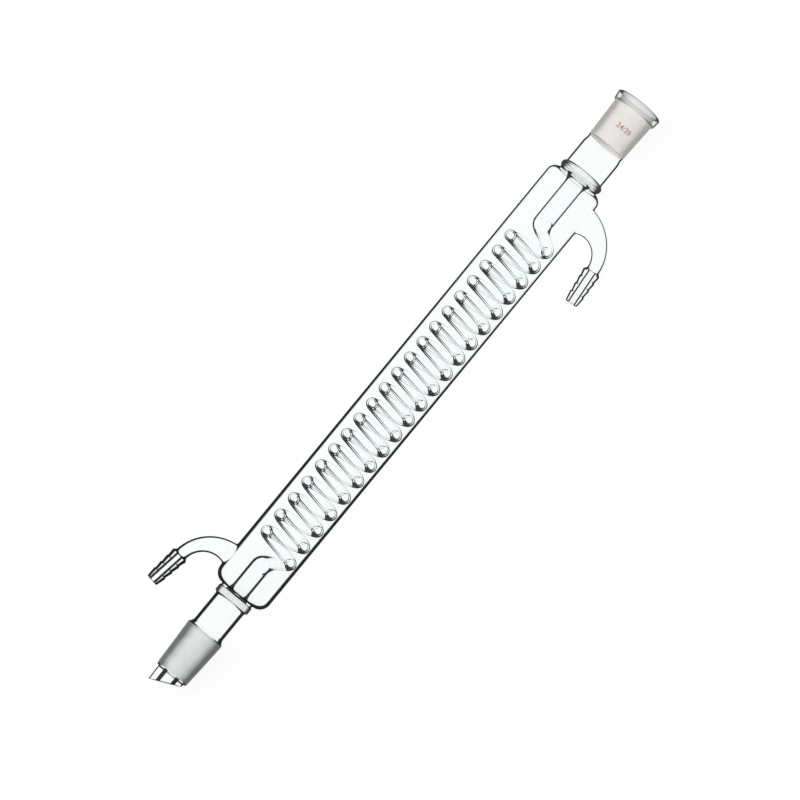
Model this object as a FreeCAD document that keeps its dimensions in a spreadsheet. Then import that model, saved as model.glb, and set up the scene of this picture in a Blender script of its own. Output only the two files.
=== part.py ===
"""Coil condenser in borosilicate glass: an outer body and the coil sealed inside it.

The body is a ground cone, a water jacket, a ground socket and two bent hose connectors,
joined in the flame into one piece of glass. Everything is drawn upright, with the axis
of the condenser along Z, and is then laid down as the condenser rests on a bench: on
the jacket and on the first ring of the upper hose connector. Lengths are millimetres,
angles degrees.
"""
import FreeCAD, Part
import math
import os

import Sketcher
from FreeCAD import Placement, Rotation, Vector

SIZES = (
    ("joint_length", 29.0, "ground length of the cone and of the socket"),
    ("joint_wide_diameter", 24.0, "wide end of the ground taper"),
    ("joint_narrow_diameter", 21.1, "narrow end of the ground taper"),
    ("drip_tip_length", 10.7, "long side of the drip tip below the ground cone"),
    ("drip_tip_diameter", 17.4, "outside of the drip tip at its lower edge"),
    ("drip_tip_root_diameter", 18.0, "outside of the drip tip under the cone"),
    ("drip_tip_rise", 8.0, "height that the slanted cut takes from the short side"),
    ("tip_bore_diameter", 10.0, "bore at the lower edge of the drip tip"),
    ("cone_bore_diameter", 13.4, "bore at the wide end of the cone"),
    ("cone_chamfer", 1.0, "bevel at the narrow end of the cone"),
    ("lower_neck_diameter", 20.3, "clear tube above the cone"),
    ("lower_neck_wall", 1.8, "wall of that tube"),
    ("lower_neck_length", 22.1, "from the cone's wide end to the collar"),
    ("neck_blend", 2.6, "height over which the lower neck opens to the cone"),
    ("neck_ledge", 0.8, "width of the clear ledge outside the ground edge"),
    ("collar_diameter", 23.2, "thick ring under the jacket"),
    ("collar_height", 5.1, "height of that ring"),
    ("collar_bevel", 1.4, "height of the slope from ring to neck"),
    ("jacket_diameter", 36.0, "outside of the water jacket"),
    ("jacket_wall", 1.5, "wall of the water jacket"),
    ("jacket_length", 307.6, "from ring seal to ring seal"),
    ("lower_shoulder_radius", 7.0, "round of the jacket's lower end"),
    ("upper_shoulder_radius", 5.0, "round of the jacket's upper end"),
    ("shoulder_lip", 1.4, "short straight lip from a shoulder to its ring"),
    ("arm_inset", 16.7, "side arm's axis from the jacket's nearer end"),
    ("boss_reach", 1.0, "side arm's seal from the jacket's wall"),
    ("boss_flare", 1.5, "how far the boss spreads at its foot"),
    ("boss_run", 4.0, "length of that spread"),
    ("boss_depth", 8.0, "how far the boss is drawn inside the wall before it is hollowed"),
    ("upper_root_diameter", 16.4, "upper side arm where it leaves the jacket"),
    ("lower_root_diameter", 13.0, "lower side arm where it leaves the jacket"),
    ("arm_end_diameter", 7.6, "both side arms at their hose nipples"),
    ("arm_wall", 1.3, "wall of the side arms"),
    ("arm_bend_radius", 20.3, "centre line of the side arms' bend"),
    ("upper_arm_turn", 84.4, "angle of the upper bend"),
    ("lower_arm_turn", 81.5, "angle of the lower bend"),
    ("arm_tail", 1.0, "straight end of a side arm"),
    ("barb_count", 4.0, "rings on a hose nipple"),
    ("barb_pitch", 5.0, "from ring to ring"),
    ("barb_rise", 0.7, "height of a ring's blunt side"),
    ("barb_fall", 1.5, "how much a ring narrows towards the tip, on diameter"),
    ("first_barb_diameter", 10.8, "ring next to the side arm"),
    ("last_barb_diameter", 9.2, "ring next to the tip"),
    ("nipple_tip_length", 6.0, "from the last ring to the open end"),
    ("nipple_tip_diameter", 7.6, "outside of the open end"),
    ("nipple_bore", 4.8, "bore of the hose nipples"),
    ("straight_tube_diameter", 11.6, "inner tube above and below the coil"),
    ("straight_tube_wall", 1.2, "wall of that tube"),
    ("upper_flare_diameter", 16.4, "inner tube at the upper ring"),
    ("lower_flare_diameter", 15.4, "inner tube at the lower ring"),
    ("flare_height", 6.5, "length of both flares"),
    ("coil_tube_diameter", 6.6, "tube of the coil"),
    ("coil_tube_wall", 1.05, "wall of the coil's tube"),
    ("coil_radius", 11.3, "axis of the coil to the middle of its tube"),
    ("coil_offset", 1.3, "how far the coil stands towards the upper side arm"),
    ("coil_start", 33.6, "lowest turn above the jacket's lower end"),
    ("coil_end", 44.0, "highest turn below the jacket's upper end"),
    ("open_turns", 5.0, "wider turns at the lower end"),
    ("open_pitch", 12.1, "their pitch"),
    ("close_turns", 15.0, "turns above them, spread over the rest of the coil"),
    ("lead_height", 11.5, "from a last turn to the middle of the tube's round end"),
    ("lead_run", 8.6, "how far a last turn keeps its course before it bends in"),
    ("lead_side", 3.0, "its way in to the round end, measured towards the upper arm"),
    ("lead_depth", 4.5, "the same, measured along the turn's heading"),
    ("lead_drop", 6.5, "the same, measured along the tube"),
    ("upper_ring_diameter", 28.2, "thick ring above the jacket"),
    ("upper_ring_height", 4.2, "height of that ring"),
    ("ring_bulge", 0.9, "how far the ring's side is rounded out"),
    ("upper_neck_diameter", 25.0, "clear tube under the socket"),
    ("upper_neck_wall", 1.7, "wall of that tube"),
    ("upper_neck_length", 19.0, "from the ring to the waist under the socket"),
    ("waist_diameter", 23.8, "narrowest place under the socket"),
    ("waist_height", 3.0, "height of each slope of the waist"),
    ("socket_foot_diameter", 24.5, "outside of the ground socket at its foot"),
    ("socket_body_diameter", 26.2, "outside of the ground socket under its rim"),
    ("rim_height", 6.2, "height of the thick rim"),
    ("rim_foot_diameter", 28.4, "rim's outside at its foot"),
    ("rim_top_diameter", 29.6, "rim's outside near its top"),
    ("rim_round", 0.7, "rounding of the rim's top edge"),
)

# Straight steps that stand for the rounds, few enough to keep the condenser light.
STEPS_PER_TURN = 10
TUBE_SIDES = 8
BORE_SIDES = 5
LEAD_STEPS = 6
SHOULDER_STEPS = 3
DOME_STEPS = 2
FLARE_STEPS = 2
ARM_STEPS = 4
TINY_TURN = 0.001

doc = FreeCAD.newDocument("coil_condenser")
sheet = doc.addObject("Spreadsheet::Sheet", "sizes")
for row, (alias, value, note) in enumerate(SIZES, start=1):
    sheet.set("A%d" % row, str(value))
    sheet.setAlias("A%d" % row, alias)
    sheet.set("B%d" % row, note)
doc.recompute()


def size(text):
    """The number that an expression over the sheet stands for."""
    return float(sheet.evalExpression(text))


def origin_plane(body, role):
    """One of a body's own base planes."""
    for feature in body.Origin.OriginFeatures:
        if feature.Role == role:
            return feature
    raise RuntimeError("no plane " + role)


def section(body, name, corners):
    """A closed straight-sided section on the body's XZ plane.

    A corner is (across, up), both expressions over the sheet.
    """
    sketch = body.newObject("Sketcher::SketchObject", name)
    sketch.AttachmentSupport = [(origin_plane(body, "XZ_Plane"), "")]
    sketch.MapMode = "FlatFace"
    points = [Vector(size(across), size(up), 0) for across, up in corners]
    for index, point in enumerate(points):
        after = points[(index + 1) % len(points)]
        sketch.addGeometry(Part.LineSegment(point, after))
    for index, (across, up) in enumerate(corners):
        before = (index - 1) % len(corners)
        sketch.addConstraint(Sketcher.Constraint("Coincident", before, 2, index, 1))
        place_corner(sketch, "X", -2, index, across)
        place_corner(sketch, "Y", -1, index, up)
    return sketch


def place_corner(sketch, axis, line, edge, text):
    """Ties one coordinate of an edge's start to its expression, on either side of zero."""
    if text == "0":
        sketch.addConstraint(Sketcher.Constraint("PointOnObject", edge, 1, line))
        return
    ends = (-1, 1, edge, 1)
    if size(text) < 0:
        ends = (edge, 1, -1, 1)
        text = "-(%s)" % text
    name = "%s%d" % (axis.lower(), edge)
    index = sketch.addConstraint(Sketcher.Constraint("Distance" + axis, *ends, size(text)))
    sketch.renameConstraint(index, name)
    sketch.setExpression("Constraints." + name, text)


def turned(name, corners):
    """A body made by turning one section about Z."""
    body = doc.addObject("PartDesign::Body", name)
    turn(body, "PartDesign::Revolution", section(body, name + "_section", corners), "V_Axis")
    return body


def turn(body, kind, sketch, axis):
    """Turns a section about one of its own axes, as material or as a cut."""
    feature = body.newObject(kind, sketch.Name + "_turned")
    feature.Profile = sketch
    feature.ReferenceAxis = (sketch, [axis])
    feature.Angle = 360
    sketch.Visibility = False
    return feature


def half(alias):
    """Half of a diameter in the sheet."""
    return "(sizes.%s / 2)" % alias


def quarter_round(across, up, radius, first, steps):
    """Corners of a quarter circle about (across, up), anticlockwise from an angle."""
    corners = []
    for step in range(steps + 1):
        angle = first + 90 * step / steps
        corners.append((
            "%s + %s * cos(%.1f)" % (across, radius, angle),
            "%s + %s * sin(%.1f)" % (up, radius, angle),
        ))
    return corners


def spread(along, run, across, rise):
    """Corners of a flare that leaves its tube smoothly and widens by its rise."""
    corners = []
    for step in range(1, FLARE_STEPS + 1):
        share = step / FLARE_STEPS
        corners.append((
            "%s + %s * %.4f" % (along, run, share),
            "%s + %s * %.4f" % (across, rise, share ** 2),
        ))
    return corners


def make_cone():
    """Ground cone with its drip tip, the clear neck above it and the collar."""
    cone_end = "sizes.drip_tip_length"
    chamfer_foot = "(%s - sizes.cone_chamfer)" % cone_end
    cone_top = "(sizes.drip_tip_length + sizes.joint_length)"
    collar_foot = "(%s + sizes.lower_neck_length)" % cone_top
    collar_slope = "(%s + sizes.collar_bevel)" % collar_foot
    top = "(%s + sizes.collar_height)" % collar_foot
    neck_bore = "(%s - sizes.lower_neck_wall)" % half("lower_neck_diameter")
    body = turned("cone", (
        (half("tip_bore_diameter"), "0"),
        (half("drip_tip_diameter"), "0"),
        (half("drip_tip_root_diameter"), chamfer_foot),
        (half("joint_narrow_diameter") + " - sizes.cone_chamfer / 2", chamfer_foot),
        (half("joint_narrow_diameter"), cone_end),
        (half("joint_wide_diameter"), cone_top),
        (half("joint_wide_diameter") + " - sizes.neck_ledge", cone_top + " + sizes.neck_ledge"),
        (half("lower_neck_diameter"), cone_top + " + sizes.neck_blend"),
        (half("lower_neck_diameter"), collar_foot),
        (half("collar_diameter"), collar_slope),
        (half("collar_diameter"), top),
        (flare_bore("lower_flare_diameter"), top),
        (neck_bore, collar_slope),
        (neck_bore, cone_top + " + sizes.neck_blend"),
        (half("cone_bore_diameter"), cone_top + " - sizes.neck_blend"),
    ))
    # The slant is lowest on the side of the lower side arm, where the last drop hangs.
    edge = half("joint_wide_diameter")
    slope = "(sizes.drip_tip_rise / sizes.drip_tip_diameter)"
    middle = "sizes.drip_tip_rise / 2"
    slant = section(body, "drip_slant_section", (
        ("-" + half("drip_tip_diameter"), "0"),
        (edge, "0"),
        (edge, middle + " + %s * %s" % (slope, edge)),
    ))
    pocket = body.newObject("PartDesign::Pocket", "drip_slant")
    pocket.Profile = slant
    pocket.Type = "ThroughAll"
    pocket.SideType = "Symmetric"
    slant.Visibility = False
    return body


def flare_bore(alias):
    """Bore radius of the inner tube where its flare ends."""
    return "(%s - sizes.straight_tube_wall)" % half(alias)


def make_socket():
    """Thick ring, clear neck, waist and ground socket with its rim."""
    ring = "sizes.upper_ring_height"
    waist = "(%s + sizes.upper_neck_length)" % ring
    foot = "(%s + sizes.waist_height)" % waist
    top = "(%s + sizes.joint_length)" % foot
    rim = "(%s - sizes.rim_height)" % top
    neck_bore = "(%s - sizes.upper_neck_wall)" % half("upper_neck_diameter")
    ring_edge = "(%s - sizes.ring_bulge)" % half("upper_ring_diameter")
    return turned("socket", (
        (flare_bore("upper_flare_diameter"), "0"),
        (ring_edge, "0"),
        (half("upper_ring_diameter"), ring + " / 3"),
        (half("upper_ring_diameter"), ring + " * 2 / 3"),
        (ring_edge, ring),
        (half("upper_neck_diameter"), ring),
        (half("upper_neck_diameter"), waist + " - sizes.waist_height"),
        (half("waist_diameter"), waist),
        (half("socket_foot_diameter"), foot),
        (half("socket_body_diameter"), rim),
        (half("rim_foot_diameter"), rim + " + sizes.rim_round"),
        (half("rim_top_diameter"), top + " - sizes.rim_round"),
        (half("rim_top_diameter") + " - sizes.rim_round", top),
        (half("joint_wide_diameter"), top),
        (half("joint_narrow_diameter"), foot),
        (neck_bore, waist + " - sizes.waist_height"),
        (neck_bore, ring + " + sizes.upper_ring_height"),
    ))


def make_jacket():
    """Water jacket with rounded ends and a short boss for each side arm."""
    top = "sizes.jacket_length"
    body = turned("jacket", jacket_outline("0"))
    upper = boss(body, "upper", "%s - sizes.arm_inset" % top, 0)
    lower = boss(body, "lower", "sizes.arm_inset", 180)
    cavity = section(body, "cavity_section", jacket_outline("sizes.jacket_wall"))
    turn(body, "PartDesign::Groove", cavity, "V_Axis")
    for sketch in (upper, lower):
        turn(body, "PartDesign::Groove", sketch, "H_Axis")
    return body


def jacket_outline(inset):
    """Section of the jacket from its axis out, as a solid, drawn in by an inset."""
    lower = shoulder("lower", "sizes.shoulder_lip", 1, inset)
    upper = shoulder("upper", "(sizes.jacket_length - sizes.shoulder_lip)", -1, inset)
    return [("0", "0"), *lower, *upper[::-1], ("0", "sizes.jacket_length")]


def shoulder(name, edge, inward, inset):
    """Corners of one end of the jacket, from its mouth along the lip to the straight wall."""
    radius = "sizes.%s_shoulder_radius" % name
    lip = "(%s - %s)" % (half("jacket_diameter"), radius)
    mouth = "(%s - %s)" % (lip, inset)
    side = "(%s - %s)" % (radius, inset)
    centre = "(%s + %d * %s)" % (edge, inward, radius)
    corners = [(mouth, "%s - %d * sizes.shoulder_lip" % (edge, inward))]
    if inset != "0":
        corners.append((mouth, "%s + %d * %s" % (edge, inward, inset)))
    if inward > 0:
        return corners + quarter_round(lip, centre, side, -90, SHOULDER_STEPS)
    return corners + quarter_round(lip, centre, side, 0, SHOULDER_STEPS)[::-1]


def boss(body, name, height, facing):
    """Adds a side arm's boss to the jacket and returns the section of its hole."""
    root = half(name + "_root_diameter")
    wall = half("jacket_diameter")
    reach = "(%s + sizes.boss_reach)" % wall
    depth = "(%s - sizes.boss_depth)" % wall
    bore = "(%s - sizes.arm_wall)" % root
    outside = section(body, name + "_boss_section", (
        (depth, "0"),
        (reach, "0"),
        (reach, root),
        *spread(reach, "-sizes.boss_run", root, "sizes.boss_flare"),
        (depth, "%s + sizes.boss_flare" % root),
    ))
    hole = section(body, name + "_hole_section", (
        (depth, "0"),
        (reach, "0"),
        (reach, bore),
        (depth, bore),
    ))
    station = Placement(Vector(0, size(height), 0), Rotation(Vector(0, 1, 0), facing))
    for sketch in (outside, hole):
        sketch.AttachmentOffset = station
        sketch.setExpression("AttachmentOffset.Base.y", height)
    turn(body, "PartDesign::Revolution", outside, "H_Axis")
    return hole


def make_hose_connector(name):
    """A tube that narrows from its root while it bends down, with a barbed nipple."""
    arm = doc.addObject("Part::Cut", name + "_arm")
    arm.Base = bent_tube(name, "outside", "0")
    arm.Tool = bent_tube(name, "bore", "sizes.arm_wall")
    nipple = make_nipple(name)
    nipple.Placement = arm_point(name, 1, size("sizes.arm_tail"))
    connector = doc.addObject("Part::MultiFuse", name + "_hose_connector")
    connector.Shapes = [arm, nipple]
    return connector


def bent_tube(name, kind, inset):
    """Loft through round sections along a side arm's bend and its straight end."""
    root = half(name + "_root_diameter")
    end = half("arm_end_diameter")
    turn_angle = "sizes.%s_arm_turn" % name
    sections = []
    stations = [(index / ARM_STEPS, "0") for index in range(ARM_STEPS + 1)]
    for share, tail in stations + [(1, "sizes.arm_tail")]:
        angle = "(%s * %.4f)" % (turn_angle, share)
        circle = doc.addObject("Part::Circle", "%s_%s_%d" % (name, kind, len(sections)))
        circle.Placement = arm_point(name, share, size(tail))
        swell = (1 - share) ** 2
        circle.setExpression("Radius", "%s + %.4f * (%s - %s) - %s" % (end, swell, root, end, inset))
        circle.setExpression("Placement.Rotation.Angle", "90 + " + angle)
        across = "sizes.arm_bend_radius * sin(%s) + %s * cos(%s)"
        drop = "sizes.arm_bend_radius * (cos(%s) - 1) - %s * sin(%s)"
        circle.setExpression("Placement.Base.x", across % (angle, tail, angle))
        circle.setExpression("Placement.Base.z", drop % (angle, tail, angle))
        sections.append(circle)
    loft = doc.addObject("Part::Loft", "%s_%s" % (name, kind))
    loft.Sections = sections
    loft.Solid = True
    loft.Ruled = True
    return loft


def arm_point(name, share, tail):
    """Place on a side arm's centre line, Z along the line, at a share of its bend."""
    angle = size("sizes.%s_arm_turn" % name) * share
    radius = size("sizes.arm_bend_radius")
    along = Vector(math.cos(math.radians(angle)), 0, -math.sin(math.radians(angle)))
    point = Vector(
        radius * math.sin(math.radians(angle)),
        0,
        radius * (math.cos(math.radians(angle)) - 1),
    )
    return Placement(point + along * tail, Rotation(Vector(0, 1, 0), 90 + angle))


def make_nipple(name):
    """Barbed nipple, open at both ends, its rings sharp towards the side arm."""
    count = int(size("sizes.barb_count"))
    bore = half("nipple_bore")
    corners = [(bore, "0"), (half("arm_end_diameter"), "0")]
    for index in range(count):
        share = index / (count - 1)
        ring = "(%s * %.4f + %s * %.4f)" % (
            half("first_barb_diameter"), 1 - share, half("last_barb_diameter"), share,
        )
        height = "sizes.barb_rise + sizes.barb_pitch * %d" % index
        corners.append((ring, height))
        if index < count - 1:
            foot = "%s + sizes.barb_pitch - sizes.barb_rise" % height
            corners.append((ring + " - sizes.barb_fall / 2", foot))
    length = "sizes.barb_rise + sizes.barb_pitch * %d + sizes.nipple_tip_length" % (count - 1)
    corners.append((half("nipple_tip_diameter"), length))
    corners.append((bore, length))
    return turned(name + "_nipple", corners)


def coil_point(turns):
    """Point on the coil's centre line after a number of turns from its lowest one.

    The coil is wound to the left: seen along Y, the near half of each turn climbs away
    from the upper hose connector.
    """
    angle = 2 * math.pi * turns
    radius = size("sizes.coil_radius")
    open_turns = min(turns, size("sizes.open_turns"))
    close_turns = turns - open_turns
    open_rise = size("sizes.open_turns * sizes.open_pitch")
    close_rise = size("sizes.jacket_length - sizes.coil_start - sizes.coil_end") - open_rise
    rise = open_turns * size("sizes.open_pitch")
    rise += close_turns * close_rise / size("sizes.close_turns")
    return Vector(
        size("sizes.coil_offset") + radius * math.cos(angle),
        -radius * math.sin(angle),
        size("sizes.coil_start") + rise,
    )


def lead_points(start, heading, end, entry):
    """Points of the smooth bend that leads a last turn into the end of a straight tube."""
    controls = (start, start + heading * size("sizes.lead_run"), end + entry, end)
    bend = Part.BezierCurve()
    bend.setPoles(list(controls))
    return [bend.value(step / LEAD_STEPS) for step in range(1, LEAD_STEPS + 1)]


def coil_path(lower_end, upper_end):
    """Centre line of the coil's tube from one straight tube to the other."""
    turns = size("sizes.open_turns") + size("sizes.close_turns")
    steps = round(turns * STEPS_PER_TURN)
    coil = [coil_point(turns * step / steps) for step in range(steps + 1)]
    first = (coil_point(0) - coil_point(TINY_TURN)).normalize()
    last = (coil_point(turns) - coil_point(turns - TINY_TURN)).normalize()
    side, depth, drop = (size("sizes.lead_" + way) for way in ("side", "depth", "drop"))
    lower = lead_points(coil[0], first, lower_end, Vector(side, depth, drop))
    upper = lead_points(coil[-1], last, upper_end, Vector(side, -depth, -drop))
    return lower[::-1] + coil + upper


def swept_tube(name, path, radius, sides):
    """A solid of many flat sides that follows a path with a mitre at each of its points."""
    axis = (path[1] - path[0]).normalize()
    across = axis.cross(Vector(0, 1, 0)).normalize()
    ring = []
    for side in range(sides + 1):
        ring.append(path[0] + Rotation(axis, 360 * side / sides).multVec(across) * radius)
    pipe = Part.BRepOffsetAPI.MakePipeShell(Part.makePolygon(path))
    pipe.setFrenetMode(False)
    pipe.setTransitionMode(1)
    pipe.add(Part.makePolygon(ring), False, False)
    pipe.build()
    pipe.makeSolid()
    tube = doc.addObject("Part::Feature", name)
    tube.Shape = pipe.shape()
    return tube


def round_radius(radius, sides):
    """Corner radius of a flat-sided ring with the area of a round one."""
    return radius * math.sqrt(2 * math.pi / (sides * math.sin(2 * math.pi / sides)))


def straight_tube(name, flare, reach, inset):
    """Inner tube from its flared seal to its round end, as a solid."""
    length = "sizes.flare_height"
    tube = "(%s - %s)" % (half("straight_tube_diameter"), inset)
    rise = "(%s - %s)" % (half(flare), half("straight_tube_diameter"))
    mouth = [(across, up) for up, across in spread(length, "-" + length, tube, rise)]
    dome = quarter_round("0", reach, tube, 0, DOME_STEPS)
    return turned(name, (
        ("0", "0"),
        (mouth[-1][0], "0"),
        *mouth[-2::-1],
        (tube, length),
        *dome[:-1],
        ("0", dome[-1][1]),
    ))


def make_coil():
    """Coil and the straight tubes at its two ends, one tube from ring to ring."""
    lower_reach = "(sizes.coil_start - sizes.lead_height)"
    upper_reach = "(sizes.coil_end - sizes.lead_height)"
    top = Vector(0, 0, size("sizes.jacket_length"))
    lower_end = Vector(0, 0, size(lower_reach))
    upper_end = top - Vector(0, 0, size(upper_reach))
    path = coil_path(lower_end, upper_end)
    solids = {}
    for kind, inset, coil_inset, sides in (
        ("outside", "0", "0", TUBE_SIDES),
        ("bore", "sizes.straight_tube_wall", "sizes.coil_tube_wall", BORE_SIDES),
    ):
        radius = round_radius(size("%s - %s" % (half("coil_tube_diameter"), coil_inset)), sides)
        lower = straight_tube("lower_tube_" + kind, "lower_flare_diameter", lower_reach, inset)
        upper = straight_tube("upper_tube_" + kind, "upper_flare_diameter", upper_reach, inset)
        upper.Placement = Placement(top, Rotation(Vector(1, 0, 0), 180))
        fused = doc.addObject("Part::MultiFuse", "coil_" + kind)
        fused.Refine = False
        fused.Shapes = [lower, swept_tube("turns_" + kind, path, radius, sides), upper]
        solids[kind] = fused
    coil = doc.addObject("Part::Cut", "coil")
    coil.Refine = False
    coil.Base = solids["outside"]
    coil.Tool = solids["bore"]
    return coil


def resting_turn():
    """Turn that lays the condenser on its jacket and on the upper nipple's first ring."""
    end = arm_point("upper", 1, size("sizes.arm_tail") + size("sizes.barb_rise")).Base
    jacket = size(half("jacket_diameter"))
    distance = jacket + size("sizes.boss_reach") + end.x
    roll = math.degrees(math.asin((jacket - size(half("first_barb_diameter"))) / distance))
    return Rotation(Vector(1, 0, 0), roll - 90) * Rotation(Vector(0, 1, 0), 90)


def make_body():
    """Cone, jacket, socket and both hose connectors, sealed end to end."""
    seal = size(half("jacket_diameter")) + size("sizes.boss_reach")
    jacket_foot = cone_height()
    jacket_top = jacket_foot + size("sizes.jacket_length")
    inset = size("sizes.arm_inset")
    stations = (
        (make_cone(), Vector(0, 0, 0), 0),
        (make_jacket(), Vector(0, 0, jacket_foot), 0),
        (make_socket(), Vector(0, 0, jacket_top), 0),
        (make_hose_connector("upper"), Vector(seal, 0, jacket_top - inset), 0),
        (make_hose_connector("lower"), Vector(-seal, 0, jacket_foot + inset), 180),
    )
    for piece, place, facing in stations:
        piece.Placement = Placement(place, Rotation(Vector(0, 0, 1), facing))
    body = doc.addObject("Part::MultiFuse", "condenser_body")
    body.Refine = False
    body.Shapes = [piece for piece, place, facing in stations]
    return body


def cone_height():
    """Height of the cone, the neck above it and the collar under the jacket."""
    ground = size("sizes.drip_tip_length + sizes.joint_length")
    return ground + size("sizes.lower_neck_length + sizes.collar_height")


def lay_down(body, coil):
    """Gives both pieces their place on the bench, the middle of the body over the origin."""
    rest = Placement(Vector(), resting_turn())
    body.Placement = rest
    box = body.Shape.optimalBoundingBox(False, False)
    shift = Placement(Vector(-box.Center.x, -box.Center.y, -box.ZMin), Rotation())
    body.Placement = shift * rest
    coil.Placement = shift * rest * Placement(Vector(0, 0, cone_height()), Rotation())


def main():
    """Builds the body and the coil, lays them down together and writes their files."""
    body = make_body()
    coil = make_coil()
    doc.recompute()
    lay_down(body, coil)
    doc.recompute()
    for feature in doc.Objects:
        if "Invalid" in feature.State or "Error" in feature.State:
            raise RuntimeError("%s failed" % feature.Name)
    os.makedirs("parts", exist_ok=True)
    for piece in (body, coil):
        if piece.Shape.isNull() or not piece.Shape.isValid():
            raise RuntimeError("%s has no valid shape" % piece.Label)
        piece.Shape.exportStep("parts/%s.step" % piece.Label)
        print(piece.Label, round(piece.Shape.Volume, 1), len(piece.Shape.Solids), piece.Shape.BoundBox)


main()
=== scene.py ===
"""A coil condenser of clear borosilicate glass lying on a white bench.

Every shape is drawn upright in millimetres, with the axis of the condenser along Z, the
drip tip at zero height and the upper hose connector towards +X. A Rest then lays it down
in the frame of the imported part. The body is one closed skin of quads, from the drip tip to
the socket and through both hose connectors. The coil is swept by Geometry Nodes.
"""
import logging
import math
from dataclasses import dataclass, field, replace
from enum import Enum
from typing import Any, Sequence

import bmesh
import bpy
from mathutils import Matrix, Vector


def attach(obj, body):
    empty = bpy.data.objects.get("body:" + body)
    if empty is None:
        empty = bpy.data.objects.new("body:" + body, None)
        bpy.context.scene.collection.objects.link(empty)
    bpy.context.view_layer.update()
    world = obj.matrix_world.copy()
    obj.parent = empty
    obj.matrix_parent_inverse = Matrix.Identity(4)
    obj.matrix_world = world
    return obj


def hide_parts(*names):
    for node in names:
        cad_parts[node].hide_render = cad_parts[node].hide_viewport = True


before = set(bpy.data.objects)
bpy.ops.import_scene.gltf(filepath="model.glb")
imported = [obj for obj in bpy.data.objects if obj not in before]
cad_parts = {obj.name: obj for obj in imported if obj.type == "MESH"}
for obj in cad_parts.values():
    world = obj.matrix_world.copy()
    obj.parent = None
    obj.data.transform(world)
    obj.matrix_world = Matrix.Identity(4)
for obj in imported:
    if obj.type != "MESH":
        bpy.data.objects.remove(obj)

MM = 0.001

# Layer Weight's neutral blend: its Facing is then one less the cosine of the angle to the eye.
NEUTRAL_BLEND = 0.5

# Names of the Map Range node's inputs, in the order in which its values are given here.
MAP_RANGE = ("Value", "From Min", "From Max", "To Min", "To Max")

# Walls of glass that a line of sight may cross, where the coil's turns lie one behind the other.
GLASS_LAYERS = 64

# Share of an edge that the rounding at one of its ends may take, so that two never meet.
NEARLY_HALF = 0.49

# Slack in millimetres where the heights of rings are compared.
SLACK = 0.01

# Radius of the clear neck above the cone and of its bore, in millimetres.
NECK_RADIUS = 10.15
NECK_BORE = 8.35

Point = tuple[float, float]
Corner = tuple[float, float, float]
Station = tuple[Vector, Vector, Vector]

logging.basicConfig(level=logging.INFO, format="%(name)s: %(message)s")
log = logging.getLogger("condenser")


class Skin(Enum):
    """The kinds of surface that the body shows, in the order of its material slots."""

    CLEAR = 0
    BORE = 1
    GROUND_CONE = 2
    GROUND_SOCKET = 3
    SEAL = 4
    MARK = 5


class Wall(Enum):
    """The two surfaces of the coil's wall, in the order of its material slots."""

    OUTSIDE = 0
    BORE = 1


# Small helpers


def within(value: float, low: float = 0.0, high: float = 1.0) -> float:
    """Keeps a value between two limits."""
    return min(max(value, low), high)


def linear(code: str) -> tuple[float, float, float, float]:
    """Turns an sRGB hex colour into the linear colour that a shader takes.

    Args:
        code: six hex digits after a number sign.

    Returns:
        Red, green, blue and an alpha of one.
    """
    shares = [int(code[i : i + 2], 16) / 255 for i in (1, 3, 5)]
    r, g, b = (s / 12.92 if s <= 0.04045 else ((s + 0.055) / 1.055) ** 2.4 for s in shares)
    return r, g, b, 1.0


def add(
    tree: bpy.types.NodeTree, kind: str, sockets: dict[Any, Any] | None = None, **settings: Any
) -> Any:
    """Adds one node with its settings, values and links.

    Args:
        tree: the tree that gets the node.
        kind: the node's type name.
        sockets: input name or index to a value, or to an output socket to link.
        settings: properties of the node itself.

    Returns:
        The new node.
    """
    node = tree.nodes.new(kind)
    for name, value in settings.items():
        setattr(node, name, value)
    for key, value in (sockets or {}).items():
        if isinstance(value, bpy.types.NodeSocket):
            tree.links.new(value, node.inputs[key])
        else:
            node.inputs[key].default_value = value
    return node


def new_material(name: str) -> tuple[bpy.types.Material, bpy.types.NodeTree, Any]:
    """Makes an empty node material.

    Args:
        name: the material's name.

    Returns:
        The material, its tree and its output node.
    """
    material = bpy.data.materials.new(name)
    material.use_nodes = True
    tree = material.node_tree
    tree.nodes.clear()
    return material, tree, add(tree, "ShaderNodeOutputMaterial")


def link_object(name: str, content: Any) -> bpy.types.Object:
    """Makes an object of a mesh, a lamp, a camera or a curve and puts it in the scene.

    Args:
        name: the object's name.
        content: what it shows.

    Returns:
        The object, at the origin.
    """
    made = bpy.data.objects.new(name, content)
    bpy.context.scene.collection.objects.link(made)
    return made


# Finishes


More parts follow.
